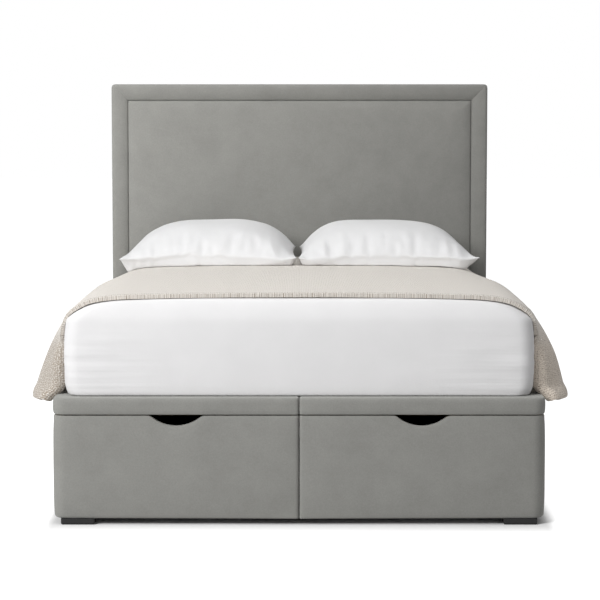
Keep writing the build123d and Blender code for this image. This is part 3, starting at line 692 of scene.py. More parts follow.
class Finishes:
    """Every finish on the bed, made once."""

    def __init__(self) -> None:
        """Build the materials."""
        # Painted light: both velvets are lighter at the left and darker at the right, the
        # headboard's copy much more so, standing in for the lamp's falloff
        self.velvet = Velvet(painted_light_left=1.02, painted_light_right=1.01).make()
        self.board_velvet = Velvet("grey_velvet_headboard", painted_light_left=1.115,
                                   painted_light_right=0.84).make()
        self.sheet = Cotton("white_sheet", (0.80, 0.795, 0.80), pull_depth=0.006).make()
        self.pillowcase = Cotton("white_pillowcase", (0.765, 0.765, 0.77), 14.0).make()
        self.knit = RibKnit().make()
        board_along = Board(Grain.ALONG_BED).make()
        board_across = Board(Grain.ACROSS_BED).make()
        steel = Hard("black_coated_steel", (0.022, 0.022, 0.024), 0.0, 0.42, 900.0).make()
        zinc = Hard("zinc_plate", (0.58, 0.58, 0.56), 1.0, 0.36, 400.0).make()
        rod = Hard("bright_rod", (0.78, 0.78, 0.79), 1.0, 0.12, 300.0, 0.00005).make()
        plastic = Hard("black_plastic", (0.008, 0.008, 0.008), 0.0, 0.75, 1200.0).make()
        lining = Hard("black_back_cloth", (0.02, 0.02, 0.021), 0.0, 0.95, 700.0, 0.0006).make()
        coated = Hard("grey_coated_board", (0.33, 0.33, 0.325), 0.0, 0.8, 500.0, 0.0003).make()
        self.by_word = (
            (("cloth",), lining),
            (("floor_board",), coated),
            (("cover", "border", "pad"), self.velvet),
            (("screws", "bolts", "pins"), zinc),
            (("strut_rod",), rod),
            (("bracket", "arm", "strut", "retainer"), steel),
            (("feet",), plastic),
            (("foot_", "head_", "cross_"), board_across),
            (("",), board_along),
        )

    def dress_frame(self, nodes: dict[str, bpy.types.Object]) -> None:
        """Give every CAD node the finish of the first row that has a word of its name.

        Args:
            nodes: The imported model's nodes by name.
        """
        for name, piece in nodes.items():
            finish = next(finish for words, finish in self.by_word
                          if any(word in name for word in words))
            piece.data.materials.clear()
            piece.data.materials.append(finish)


class Form:
    """A mesh in the making: bmesh operators in metres, in the bed's own frame."""

    def __init__(self) -> None:
        """Start with nothing."""
        self.mesh = bmesh.new()

    def everything(self) -> list[bmesh.types.BMVert | Edge | bmesh.types.BMFace]:
        """Every point, edge and face."""
        return [*self.mesh.verts, *self.mesh.edges, *self.mesh.faces]

    def box(self, low: Sequence[float], high: Sequence[float]) -> Form:
        """Add a box.

        Args:
            low: Its corner on the low side of every axis.
            high: The opposite corner.

        Returns:
            This form.
        """
        made = bmesh.ops.create_cube(self.mesh, size=1.0)["verts"]
        size = [b - a for a, b in zip(low, high)]
        centre = [(a + b) / 2 for a, b in zip(low, high)]
        bmesh.ops.scale(self.mesh, vec=size, verts=made)
        bmesh.ops.translate(self.mesh, vec=centre, verts=made)
        return self

    def round(self, pick: Callable[[Edge], bool], radius: float, facets: int) -> Form:
        """Round the edges that a test picks.

        Args:
            pick: Test of an edge.
            radius: Radius of the rounding.
            facets: Facets across it.

        Returns:
            This form.
        """
        edges = [edge for edge in self.mesh.edges if pick(edge)]
        bmesh.ops.bevel(self.mesh, geom=edges, offset=radius, offset_type="OFFSET",
                        segments=facets, profile=0.5, affect="EDGES", material=-1)
        return self

    def slice(self, axis: int, places: Sequence[float]) -> Form:
        """Cut the faces along planes, so that they can be shaped in between.

        Args:
            axis: The axis that the planes stand across.
            places: Where on that axis they stand.

        Returns:
            This form.
        """
        normal = Vector((0.0, 0.0, 0.0))
        normal[axis] = 1.0
        for place in places:
            bmesh.ops.bisect_plane(self.mesh, geom=self.everything(), plane_co=normal * place,
                                   plane_no=normal)
        return self

    def cut_away(self, point: Sequence[float], normal: Sequence[float]) -> Form:
        """Cut off what lies beyond a plane and close the cut.

        Args:
            point: A point of the plane.
            normal: The direction towards what goes.

        Returns:
            This form.
        """
        made = bmesh.ops.bisect_plane(self.mesh, geom=self.everything(), plane_co=point,
                                      plane_no=normal, clear_outer=True)
        rim = [part for part in made["geom_cut"] if isinstance(part, Edge)]
        bmesh.ops.edgenet_fill(self.mesh, edges=rim)
        return self

    def drop(self, pick: Callable[[bmesh.types.BMFace], bool]) -> Form:
        """Remove the faces that a test picks."""
        bmesh.ops.delete(self.mesh, geom=[f for f in self.mesh.faces if pick(f)],
                         context="FACES")
        return self

    def move(self, shape: Callable[[Vector], Vector]) -> Form:
        """Move every point to where a function says.

        Args:
            shape: A point's new place, from its old one.

        Returns:
            This form.
        """
        for vert in self.mesh.verts:
            vert.co = shape(vert.co)
        return self

    def swell(self, amount: Swell) -> Form:
        """Move every point along its normal.

        Args:
            amount: How far, from a point's place and normal.

        Returns:
            This form.
        """
        self.mesh.normal_update()
        moves = [(vert, vert.normal * amount(vert.co, vert.normal)) for vert in self.mesh.verts]
        for vert, step in moves:
            vert.co += step
        return self

    def on(self, side: Side) -> Form:
        """Put a right-hand form on its side of the bed.

        Args:
            side: The side.

        Returns:
            This form, mirrored for the left side.
        """
        if side is Side.LEFT:
            bmesh.ops.scale(self.mesh, vec=(-1.0, 1.0, 1.0), verts=self.mesh.verts)
            bmesh.ops.reverse_faces(self.mesh, faces=self.mesh.faces)
        return self

    def place(self, name: str, material: bpy.types.Material, crease: float = 35.0
              ) -> bpy.types.Object:
        """Turn the form into an object in the scene.

        Args:
            name: The piece's name.
            material: Its material.
            crease: Angle in degrees past which an edge stays sharp.

        Returns:
            The new object.
        """
        data = bpy.data.meshes.new(name)
        self.mesh.to_mesh(data)
        self.mesh.free()
        data.materials.append(material)
        data.shade_smooth()
        data.set_sharp_from_angle(angle=radians(crease))
        piece = bpy.data.objects.new(name, data)
        bpy.context.scene.collection.objects.link(piece)
        return piece


def finish_modifiers(piece: bpy.types.Object) -> None:
    """Apply a piece's modifiers to its mesh.

    Args:
        piece: The piece.
    """
    graph = bpy.context.evaluated_depsgraph_get()
    done = bpy.data.meshes.new_from_object(piece.evaluated_get(graph), depsgraph=graph)
    piece.modifiers.clear()
    old = piece.data
    piece.data = done
    bpy.data.meshes.remove(old)


def settle(piece: bpy.types.Object, body: str, replaced: str) -> None:
    """Hang a finished piece on its body.

    Args:
        piece: The piece.
        body: The body that it moves with.
        replaced: The CAD node that it stands for.
    """
    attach(piece, body)
    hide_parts(replaced)
    log.info("%s: %d faces on %s", piece.name, len(piece.data.polygons), body)


@dataclass
class Divan:
    """Upholstery round the two halves of the storage base and of the lid."""

    finishes: Finishes
    half_width: float = 0.750
    split: float = 0.001
    foot: float = -1.0405
    head: float = 0.9595
    base_low: float = 0.0195
    base_high: float = 0.3355
    lid_low: float = 0.3390
    lid_high: float = 0.3905
    outer_corner: float = 0.038
    split_corner: float = 0.010
    bottom_round: float = 0.010
    seam_round: float = 0.0026
    lid_round: float = 0.006
    lid_under_round: float = 0.0022
    # Width of the level strips that stay round the faces that nobody sees
    fold: float = 0.023
    split_fold: float = 0.021
    lid_fold: float = 0.0045
    lid_split_fold: float = 0.0027
    skin: float = 0.0018
    # Swell of the wadding, which fades out by the dividing line, and its unevenness
    wadding: float = 0.0030
    split_fade: float = 0.05
    dent_depth: float = 0.0006
    dent_size: float = 0.09
    pucker_depth: float = 0.0005
    pucker_size: float = 0.03
    scoop_centre: float = 0.3745
    scoop_half: float = 0.089
    scoop_depth: float = 0.032
    scoop_lip: float = 0.025
    # Below the top edge: where the scoop starts to draw the cloth down, and where it is full
    dip_reach: float = 0.075
    dip_full: float = 0.004
    # Distances between the cuts that let the cloth be shaped
    cut_across: float = 0.03
    cut_along: float = 0.04
    cut_up: float = 0.026
    cut_fine: float = 0.009
    cut_scoop: float = 0.004
    scoop_margin: float = 0.012
    fine_zone: float = 0.07
    lid_fine_start: float = 0.004
    crease: float = 50.0

    def scoop_drop(self, x: float) -> float:
        """How far the hand scoop lowers the base's top edge.

        Args:
            x: Distance from the bed's middle.

        Returns:
            The drop in metres: an arc in the middle, rounded over to the edge at both ends.
        """
        reach = abs(x - self.scoop_centre)
        if reach >= self.scoop_half:
            return 0.0
        span = (self.scoop_half ** 2 + self.scoop_depth ** 2) / (2 * self.scoop_depth)
        radius = span - self.scoop_lip
        centre = span - self.scoop_lip - self.scoop_depth
        meet = atan2(centre + self.scoop_lip, self.scoop_half)
        if reach > radius * cos(meet):
            return self.scoop_lip - sqrt(max(
                self.scoop_lip ** 2 - (self.scoop_half - reach) ** 2, 0.0))
        return sqrt(radius ** 2 - reach ** 2) - centre

    def block(self, low: float, high: float) -> Form:
        """Start a right-hand half with its upright corners rounded.

        Args:
            low: Its underside.
            high: Its top.

        Returns:
            The new form.
        """
        form = Form().box((self.split, self.foot, low), (self.half_width, self.head, high))
        form.round(lambda e: upright(e) and not before(e, X, self.split),
                   self.outer_corner, 8)
        return form.round(lambda e: upright(e) and before(e, X, self.split),
                          self.split_corner, 4)

    def padded_wall(self, low: float, high: float, seed: float) -> Swell:
        """How far the wadding swells each point of a wall.

        Args:
            low: Bottom of the wall.
            high: Top of the wall.
            seed: Shift of the unevenness.

        Returns:
            A function of a point's place and normal.
        """
        middle = (low + high) / 2
        half = (high - low) / 2

        def amount(point: Vector, normal: Vector) -> float:
            """Swell at a point."""
            rise = min(abs(point.z - middle) / half, 1.0)
            away = smooth_step(self.split, self.split + self.split_fade, point.x)
            full = self.wadding * (1.0 - rise ** 4) * away
            uneven = (self.dent_depth * ripple(point, self.dent_size, seed)
                      + self.pucker_depth * ripple(point, self.pucker_size, seed + 3))
            return (1.0 - abs(normal.z)) * (full + uneven * (1.0 - rise ** 6))

        return amount

    def open_up(self, form: Form, folds: tuple[float, float],
                hidden_side: Callable[[Vector], bool]) -> None:
        """Leave out the level faces that lie inside the folded-over cloth.

        Args:
            form: The half's form.
            folds: Width of the fold at the dividing line and at the outer sides.
            hidden_side: Test of the normals of the faces that may go.
        """
        inner, outer = self.split + folds[0], self.half_width - folds[1]
        front, back = self.foot + folds[1], self.head - folds[1]

        def hidden(face: bmesh.types.BMFace) -> bool:
            """Whether a face is inside the folds."""
            middle = face.calc_center_median()
            inside = inner < middle.x < outer and front < middle.y < back
            return inside and hidden_side(face.normal)

        form.drop(hidden)

    def finish(self, form: Form, side: Side, part: str) -> None:
        """Turn a half's form into its cover.

        Args:
            form: The right-hand form.
            side: The side that it belongs on.
            part: base or lid, which names the piece, its body and its CAD node.
        """
        piece = form.on(side).place(f"{side.label}_{part}_upholstery", self.finishes.velvet,
                                    self.crease)
        wall = piece.modifiers.new("wall", "SOLIDIFY")
        wall.thickness = self.skin
        wall.offset = -1.0
        finish_modifiers(piece)
        settle(piece, part, f"{side.label}_{part}_cover")

    def base_half(self, side: Side) -> None:
        """Cover one half of the base, dipped into its hand scoop.

        Args:
            side: The half's side.
        """
        top = self.base_high
        form = self.block(self.base_low, top)
        form.round(lambda e: before(e, Z, self.base_low)
                   and not before(e, X, self.split + self.split_corner), self.bottom_round, 5)
        form.round(lambda e: after(e, Z, top), self.seam_round, 3)
        edge = self.scoop_half + self.scoop_margin
        scoop = between(self.scoop_centre - edge, self.scoop_centre + edge, self.cut_scoop)
        plain = [x for x in between(self.split, self.half_width, self.cut_across)
                 if abs(x - self.scoop_centre) > edge]
        front = self.foot + self.fold
        back = self.head - self.fold
        form.slice(X, sorted([*plain, *scoop, self.split + self.split_fold,
                              self.half_width - self.fold]))
        form.slice(Y, [front, back, *between(front, back, self.cut_along)])
        fine = top - self.fine_zone
        form.slice(Z, [*between(self.base_low + self.bottom_round, fine, self.cut_up), fine,
                       *between(fine, top - self.seam_round, self.cut_fine)])
        self.open_up(form, (self.split_fold, self.fold), lambda normal: abs(normal.z) > 0.9)
        form.swell(self.padded_wall(self.base_low, top, 2.0 + side.value))

        def dip(point: Vector) -> Vector:
            """Draw a point of the foot end down into the scoop."""
            if point.y > front + CLOSE:
                return point
            share = smooth_step(top - self.dip_reach, top - self.dip_full, point.z)
            return point - Vector((0.0, 0.0, self.scoop_drop(point.x) * share))

        self.finish(form.move(dip), side, "base")

    def lid_half(self, side: Side) -> None:
        """Cover one half of the lid: a shallow tray over its boards.

        Args:
            side: The half's side.
        """
        low, top = self.lid_low, self.lid_high
        form = self.block(low, top)
        form.round(lambda e: after(e, Z, top), self.lid_round, 4)
        form.round(lambda e: before(e, Z, low), self.lid_under_round, 3)
        inner = self.split + self.lid_split_fold
        outer = self.half_width - self.lid_fold
        front = self.foot + self.lid_fold
        back = self.head - self.lid_fold
        form.slice(X, [inner, outer, *between(inner, outer, self.cut_across)])
        form.slice(Y, [front, back, *between(front, back, self.cut_along)])
        form.slice(Z, between(low + self.lid_fine_start, top - self.lid_round, self.cut_fine))
        self.open_up(form, (self.lid_split_fold, self.lid_fold), lambda normal: normal.z < -0.9)
        form.swell(self.padded_wall(low, top, 5.0 + side.value))
        self.finish(form, side, "lid")

    def build(self) -> None:
        """Build both halves of the base and of the lid."""
        for side in Side:
            self.base_half(side)
            self.lid_half(side)


@dataclass
class Headboard:
    """Bordered headboard: a padded centre inside a mitred, padded border."""

    finishes: Finishes
    half_width: float = 0.750
    low: float = 0.0195
    high: float = 1.3925
    front: float = 0.9605
    border_back: float = 1.0370
    pad_back: float = 1.0190
    border: float = 0.0645
    border_round: float = 0.012
    groove_round: float = 0.004
    corner: float = 0.014
    mitre_gap: float = 0.0003
    top_mitre_gap: float = 0.0004
    hump: float = 0.0015
    dent_depth: float = 0.0006
    dent_size: float = 0.06
    pad_gap: float = 0.0008
    pad_round: float = 0.005
    pad_crown: float = 0.004
    pad_crown_reach: float = 0.16
    pad_dent_depth: float = 0.0010
    pad_dent_size: float = 0.16
    pad_pucker_depth: float = 0.0005
    pad_pucker_size: float = 0.05
    # The fall below is full at the front and has faded out this far behind it
    fall_start: float = 0.008
    fall_end: float = 0.040
    # Distance from the groove, then how far the face falls back there, in metres
    border_fall: Curve = (
        (0.000, 0.0165), (0.004, 0.0138), (0.008, 0.0114), (0.012, 0.0094), (0.020, 0.0062),
        (0.028, 0.0039), (0.040, 0.0016), (0.060, 0.0))
    pad_fall: Curve = (
        (0.000, 0.0130), (0.005, 0.0106), (0.010, 0.0086), (0.020, 0.0054), (0.030, 0.0032),
        (0.045, 0.0014), (0.080, 0.0))
    # Distances between the cuts that let the padding be shaped
    cut_border: float = 0.0055
    cut_long: float = 0.03
    cut_corner: float = 0.008
    cut_pad: float = 0.026
    # Distances of the finer cuts from the pad's edge
    pad_cuts: tuple[float, ...] = (
        0.010, 0.015, 0.020, 0.026, 0.033, 0.041, 0.050, 0.060, 0.072, 0.086)
    crease: float = 50.0

    @property
    def inner(self) -> float:
        """Distance of the groove from the bed's middle."""
        return self.half_width - self.border

    @property
    def inner_top(self) -> float:
        """Height of the groove below the top border."""
        return self.high - self.border

    def corner_round(self, point: Vector) -> Vector:
        """Turn the border's square outer top corner into a round one.

        Args:
            point: A point of the border.

        Returns:
            Its new place.
        """
        centre_x = self.half_width - self.corner
        centre_z = self.high - self.corner
        out = abs(point.x) - centre_x
        up = point.z - centre_z
        if out <= 0.0 or up <= 0.0:
            return point
        factor = max(out, up) / hypot(out, up)
        sign = 1.0 if point.x > 0 else -1.0
        return Vector((sign * (centre_x + out * factor), point.y, centre_z + up * factor))

    def set_back(self, point: Vector, fall: float) -> Vector:
        """Push a point of the front back by a fall that fades out behind it."""
        fading = 1.0 - smooth_step(self.front + self.fall_start, self.front + self.fall_end,
                                   point.y)
        return point + Vector((0.0, fall * fading, 0.0))

    def fall_back(self, point: Vector) -> Vector:
        """Let a border's face fall away towards the groove."""
        across = max(abs(point.x) - self.inner, point.z - self.high + self.border, 0.0)
        return self.set_back(point, through(self.border_fall, across))

    def border_swell(self, seed: float) -> Swell:
        """How far the border's filling swells each point of its face.

        Args:
            seed: Shift of the unevenness.

        Returns:
            A function of a point's place and normal.
        """
        def amount(point: Vector, normal: Vector) -> float:
            """Swell at a point."""
            across = max(abs(point.x) - self.inner, point.z - self.inner_top) / self.border
            hump = max(1.0 - (2.0 * across - 1.0) ** 4, 0.0)
            dents = self.dent_depth * ripple(point, self.dent_size, seed)
            return max(-normal.y, 0.0) * (self.hump * hump + dents)

        return amount

    def finish(self, form: Form, name: str, node: str) -> None:
        """Turn a form into a padded piece of the headboard.

        Args:
            form: The form in its place.
            name: The piece's name.
            node: The CAD node that it stands for.
        """
        piece = form.place(name, self.finishes.board_velvet, self.crease)
        settle(piece, "base", node)

    def side_border(self, side: Side) -> None:
        """Make an upright padded border, mitred at the top.

        Args:
            side: The border's side.
        """
        inner, inner_top = self.inner, self.inner_top
        form = Form().box((inner, self.front, self.low),
                          (self.half_width, self.border_back, self.high))
        form.round(lambda e: upright(e) and before(e, Y, self.front)
                   and not before(e, X, inner), self.border_round, 5)
        form.round(lambda e: upright(e) and before(e, Y, self.front) and before(e, X, inner),
                   self.groove_round, 4)
        form.slice(X, between(inner, self.half_width, self.cut_border))
        form.slice(Z, between(self.low, inner_top, self.cut_long))
        form.slice(Z, between(inner_top, self.high, self.cut_corner))
        gap = Vector((1.0, 0.0, -1.0)).normalized() * self.mitre_gap
        form.cut_away(Vector((inner, self.front, inner_top)) + gap, Vector((-1.0, 0.0, 1.0)))
        form.move(self.corner_round).move(self.fall_back)
        form.swell(self.border_swell(11.0 + side.value))
        self.finish(form.on(side), f"headboard_{side.label}_border_soft",
                    f"headboard_{side.label}_border")

    def top_border(self) -> None:
        """Make the level padded border, mitred at both ends."""
        inner, inner_top = self.inner, self.inner_top
        form = Form().box((-self.half_width, self.front, inner_top),
                          (self.half_width, self.border_back, self.high))
        form.round(lambda e: level(e) and before(e, Y, self.front)
                   and not before(e, Z, inner_top), self.border_round, 5)
        form.round(lambda e: level(e) and before(e, Y, self.front) and before(e, Z, inner_top),
                   self.groove_round, 4)
        form.slice(Z, between(inner_top, self.high, self.cut_border))
        form.slice(X, between(-inner, inner, self.cut_long))
        form.slice(X, [x * sign for x in between(inner, self.half_width, self.cut_corner)
                       for sign in (-1, 1)])
        for sign in (-1.0, 1.0):
            joint = Vector((sign * inner, self.front, inner_top))
            form.cut_away(joint + Vector((0.0, 0.0, self.top_mitre_gap)),
                          Vector((sign, 0.0, -1.0)))
        form.move(self.corner_round).move(self.fall_back)
        form.swell(self.border_swell(17.0))
        self.finish(form, "headboard_top_border_soft", "headboard_top_border")

    def centre_pad(self) -> None:
        """Make the padded centre with rolled edges and a slight crown."""
        half = self.inner - self.pad_gap
        top = self.inner_top - self.pad_gap
        form = Form().box((-half, self.front, self.low), (half, self.pad_back, top))
        form.round(lambda e: before(e, Y, self.front) and not before(e, Z, self.low),
                   self.pad_round, 4)
        last = self.pad_cuts[-1]
        form.slice(X, [sign * (half - d) for d in self.pad_cuts for sign in (-1, 1)])
        form.slice(X, between(-half + last, half - last, self.cut_pad))
        form.slice(Z, [top - d for d in self.pad_cuts])
        form.slice(Z, between(self.low, top - last, self.cut_pad))

        def edges_back(point: Vector) -> Vector:
            """Let the pad's face fall away towards the groove."""
            side_fall = through(self.pad_fall, max(half - abs(point.x), 0.0))
            top_fall = through(self.pad_fall, max(top - point.z, 0.0))
            return self.set_back(point, max(side_fall, top_fall))

        def crown(point: Vector, normal: Vector) -> float:
            """Swell of the pad's face at a point."""
            side_in = smooth_step(0.0, self.pad_crown_reach, half - abs(point.x))
            top_in = smooth_step(0.0, self.pad_crown_reach, top - point.z)
            uneven = (self.pad_dent_depth * ripple(point, self.pad_dent_size, 23.0)
                      + self.pad_pucker_depth * ripple(point, self.pad_pucker_size, 29.0))
            return max(-normal.y, 0.0) * (self.pad_crown * side_in * top_in + uneven)

        self.finish(form.move(edges_back).swell(crown), "headboard_centre_soft",
                    "headboard_centre_pad")

    def build(self) -> None:
        """Build the border and the centre."""
        for side in Side:
            self.side_border(side)
        self.top_border()
        self.centre_pad()


@dataclass
class Mattress:
    """Deep mattress in a fitted white sheet."""

    finishes: Finishes
    half_width: float = 0.7235
    foot: float = -1.0035
    head: float = 0.9195
    low: float = 0.3913
    thick: float = 0.2985
    corner: float = 0.050
    loop_gap: float = 0.026
    # The shoulders fall off above this height over the underside, in full at the second
    fall_start: float = 0.1
    fall_full: float = 0.25
    # Pull lines: how deep, how far from the sides, where and over what share of the height
    pull_depth: float = 0.0040
    pull_reach: float = 0.30
    pull_rise: float = 0.34
    pull_band: float = 0.24
    pull_size: float = 0.020
    pull_stretch: float = 0.16
    dent_depth: float = 0.0006
    dent_size: float = 0.20
    # Height, then how far the sides and the ends draw in there, in metres
    sides: Curve = (
        (0.0000, 0.0160), (0.0030, 0.0130), (0.0080, 0.0100), (0.0200, 0.0058), (0.0420, 0.0018),
        (0.0750, 0.0002), (0.1250, 0.0000),
        (0.1840, 0.0024), (0.2165, 0.0060), (0.2345, 0.0100), (0.2480, 0.0250), (0.2635, 0.0490),
        (0.2770, 0.0790), (0.2877, 0.1330), (0.2920, 0.2030), (0.2955, 0.3400), (0.2985, 0.5643))
    ends: Curve = (
        (0.0000, 0.0070), (0.0015, 0.0034), (0.0040, 0.0015), (0.0090, 0.0006), (0.0220, 0.0002),
        (0.1250, 0.0000),
        (0.1840, 0.0006), (0.2165, 0.0020), (0.2345, 0.0040), (0.2480, 0.0075), (0.2635, 0.0130),
        (0.2770, 0.0190), (0.2877, 0.0255), (0.2920, 0.0300), (0.2955, 0.0360), (0.2985, 0.0490))
    levels: tuple[float, ...] = (
        0.000, 0.0015, 0.003, 0.005, 0.0075, 0.011, 0.016, 0.021, 0.027, 0.040, 0.055, 0.070,
        0.085, 0.100, 0.115, 0.130, 0.145, 0.160, 0.172, 0.184, 0.195, 0.206, 0.2165, 0.226,
        0.2345, 0.241, 0.248, 0.256, 0.2635, 0.270, 0.277, 0.2825, 0.2877, 0.290, 0.292,
        0.2938, 0.2955, 0.297, 0.2985)

    def outline(self) -> Form:
        """Draw the plan outline with round corners, as one loop of edges.

        Returns:
            The new form.
        """
        form = Form().box((-self.half_width, self.foot, 0.0),
                          (self.half_width, self.head, 0.1))
        form.round(upright, self.corner, 8)
        form.drop(lambda f: f.normal.z > -0.5)
        face = form.mesh.faces[:][0]
        bmesh.ops.delete(form.mesh, geom=[face], context="FACES_ONLY")
        form.slice(X, between(-self.half_width + self.corner, self.half_width - self.corner,
                              self.loop_gap))
        form.slice(Y, between(self.foot + self.corner, self.head - self.corner, self.loop_gap))
        return form

    def creases(self, point: Vector, normal: Vector) -> float:
        """How far the sheet's pulls move a point, most low down near the corners.

        Args:
            point: The point's place.
            normal: The point's normal.

        Returns:
            The move in metres.
        """
        wall = 1.0 - smooth_step(0.3, 0.9, abs(normal.z))
        rise = (point.z - self.low) / self.thick
        near = bell(abs(point.x), self.half_width, self.pull_reach)
        low = bell(rise, self.pull_rise, self.pull_band)
        stretched = Vector((point.x * self.pull_stretch, point.y * self.pull_stretch, point.z))
        pulls = ripple(stretched, self.pull_size, 31.0)
        dents = ripple(point, self.dent_size, 37.0)
        return wall * (self.pull_depth * near * low * pulls + self.dent_depth * dents)

    def fall(self, point: Vector) -> Vector:
        """Let a point of the mattress's shoulders fall off towards the head end."""
        share = smooth_step(self.low + self.fall_start, self.low + self.fall_full, point.z)
        return point - Vector((0.0, 0.0, head_fall(point.x, point.y) * share))

    def build(self) -> None:
        """Raise the outline level by level, then close the top and the bottom."""
        form = self.outline()
        mesh = form.mesh
        middle = (self.foot + self.head) / 2
        half_length = (self.head - self.foot) / 2
        ring = mesh.edges[:]
        tag = mesh.verts.layers.int.new("loop")
        plan = {}
        for number, vert in enumerate(mesh.verts):
            vert[tag] = number
            plan[number] = vert.co.copy()

        def lay(verts: Sequence[bmesh.types.BMVert], rise: float) -> None:
            """Put a loop's points where they belong at a height over the underside."""
            side_in = through(self.sides, rise)
            end_in = through(self.ends, rise)
            for vert in verts:
                start = plan[vert[tag]]
                vert.co.x = start.x * (1.0 - side_in / self.half_width)
                vert.co.y = middle + (start.y - middle) * (1.0 - end_in / half_length)
                vert.co.z = self.low + rise

        lay(mesh.verts, self.levels[0])
        bottom = list(ring)
        for rise in self.levels[1:]:
            made = bmesh.ops.extrude_edge_only(mesh, edges=ring)["geom"]
            ring = [part for part in made if isinstance(part, Edge)
                    and all(v in made for v in part.verts)]
            lay(list({v for edge in ring for v in edge.verts}), rise)
        bmesh.ops.edgeloop_fill(mesh, edges=ring)
        bmesh.ops.edgeloop_fill(mesh, edges=bottom)
        bmesh.ops.recalc_face_normals(mesh, faces=mesh.faces)
        form.swell(self.creases).move(self.fall)
        piece = form.place("mattress_soft", self.finishes.sheet, 60.0)
        settle(piece, "lid", "mattress")


@dataclass(frozen=True)
class Drape:
    """How one hanging side of the throw differs from the other."""

    puff: float
    lean: float
    # Share of the throw's length, then the factor by which the drape stands out there
    flare: Curve


@dataclass
class Throw:
    """Thick knitted throw laid over the mattress, its sides hanging past the lid."""

    finishes: Finishes
    foot: float = -0.9650
    head: float = 0.9175
    thick: float = 0.0095
    border: float = 0.0155
    # Share of the border's swell that the hems have, and where it starts and ends
    hem_share: float = 0.74
    border_width: float = 0.045
    border_full: float = 0.4
    edge_start: float = -0.012
    edge_full: float = 0.014
    # Run from the middle where the cloth is stretched over the shoulder, without a swell
    thin_run: float = 0.745
    thin_reach: float = 0.055
    shoulder: float = 0.7265
    lift: float = 0.0016
    lift_size: float = 0.12
    # The drape's front edge is rolled back, and stands out in full between these distances
    flare_start: float = 0.018
    flare_end: float = 0.140
    # The roll: its run, depth and width, its distance from the throw's foot, and how it eases
    roll_run: float = 0.050
    roll_deep: float = 0.028
    roll_wide: float = 0.010
    roll_clear: float = 0.014
    roll_soft: float = 0.022
    roll_return: float = 0.2
    # Heights between which the roll and its clearance grow as the drape hangs lower
    hang_low: float = 0.480
    hang_high: float = 0.655
    clear_low: float = 0.400
    clear_high: float = 0.600
    hem_corner: float = 0.034
    # The hem sags near its front corner
    sag: float = 0.007
    sag_start: float = 0.86
    sag_place: float = 0.085
    sag_reach: float = 0.055
    # The cloth puffs up over the shoulder
    puff_place: float = 0.71
    puff_reach: float = 0.055
    puff_out: float = 0.6
    # The right drape leans out over these widths and heights
    lean_across: tuple[float, float] = (0.60, 0.70)
    lean_up: tuple[float, float] = (0.40, 0.52)
    # The front edge lies this much closer to the mattress, over this distance behind it
    tuck: float = 0.0008
    tuck_reach: float = 0.05
    # Right half of the underside, from the middle to the hem: X and Z in metres
    section: Curve = (
        (0.0000, 0.6915), (0.1450, 0.6909), (0.3500, 0.6890), (0.5180, 0.6852), (0.5880, 0.6808),
        (0.6435, 0.6704), (0.6738, 0.6565), (0.6980, 0.6410), (0.7120, 0.6270), (0.7240, 0.6079),
        (0.7450, 0.5759), (0.7701, 0.5279), (0.7913, 0.4780), (0.8086, 0.4319), (0.8265, 0.3750))
    # Front edge of a drape below the shoulder, close against the mattress: Z and X in metres
    front_edge: Curve = (
        (0.3700, 0.7665), (0.3800, 0.7600), (0.3900, 0.7510), (0.4000, 0.7385), (0.4100, 0.7270),
        (0.4200, 0.7205), (0.4350, 0.7205), (0.4600, 0.7235), (0.5200, 0.7240), (0.5750, 0.7222),
        (0.6079, 0.7188), (0.6270, 0.7122))
    left: Drape = Drape(0.009, 0.0, (
        (0.000, 0.97), (0.065, 0.97), (0.120, 0.96), (0.200, 0.84), (0.310, 0.94),
        (0.430, 0.82), (0.560, 0.93), (0.700, 0.80), (0.850, 0.91), (1.000, 0.78)))
    right: Drape = Drape(0.011, 0.009, (
        (0.000, 1.04), (0.065, 1.04), (0.120, 1.03), (0.200, 0.88), (0.310, 0.93),
        (0.430, 0.82), (0.560, 0.96), (0.700, 0.84), (0.850, 0.89), (1.000, 0.80)))
    # Cuts of the flat cloth: distances from its hems, then more behind its front edge
    rim: tuple[float, ...] = (0.004, 0.009, 0.015, 0.022, 0.030, 0.038, 0.046)
    opening: tuple[float, ...] = (0.054, 0.063, 0.074, 0.087, 0.102, 0.118)
    cut_across: float = 0.014
    cut_along: float = 0.020
    hem_round: float = 0.48
    hem_facets: int = 4
    hem_angle: float = 50.0

    def __post_init__(self) -> None:
        """Measure the section once."""
        run = 0.0
        self.run_x: list[tuple[float, float]] = []
        self.run_z: list[tuple[float, float]] = []
        last = self.section[0]
        for point in self.section:
            run += hypot(point[0] - last[0], point[1] - last[1])
            self.run_x.append((run, point[0]))
            self.run_z.append((run, point[1]))
            last = point
        self.half_run = run
        self.length = self.head - self.foot

    def round_corner(self, run: float, along: float) -> tuple[float, float]:
        """Turn the flat cloth's square front corner into a round one.

        Args:
            run: Distance across from the middle.
            along: Distance from the front edge.

        Returns:
            Both distances after the rounding.
        """
        out = run - self.half_run + self.hem_corner
        ahead = self.hem_corner - along
        if out <= 0.0 or ahead <= 0.0:
            return run, along
        pull = max(out, ahead) / hypot(out, ahead) - 1.0
        return run + out * pull, along - ahead * pull

    def roll_back(self, along: float, turn: float) -> float:
        """How far behind the throw's foot a point of the drape lies.

        Args:
            along: Its distance from the cloth's front edge.
            turn: How far the cloth has turned round the front roll, up to a quarter turn.

        Returns:
            The distance in metres.
        """
        past = along - self.roll_run
        late = (past + hypot(past, self.roll_soft)) / 2
        return (self.roll_clear + self.roll_deep * (1.0 - sin(turn)) + late
                + (self.roll_run - self.roll_clear) * (1.0 - exp(-late / self.roll_return)))

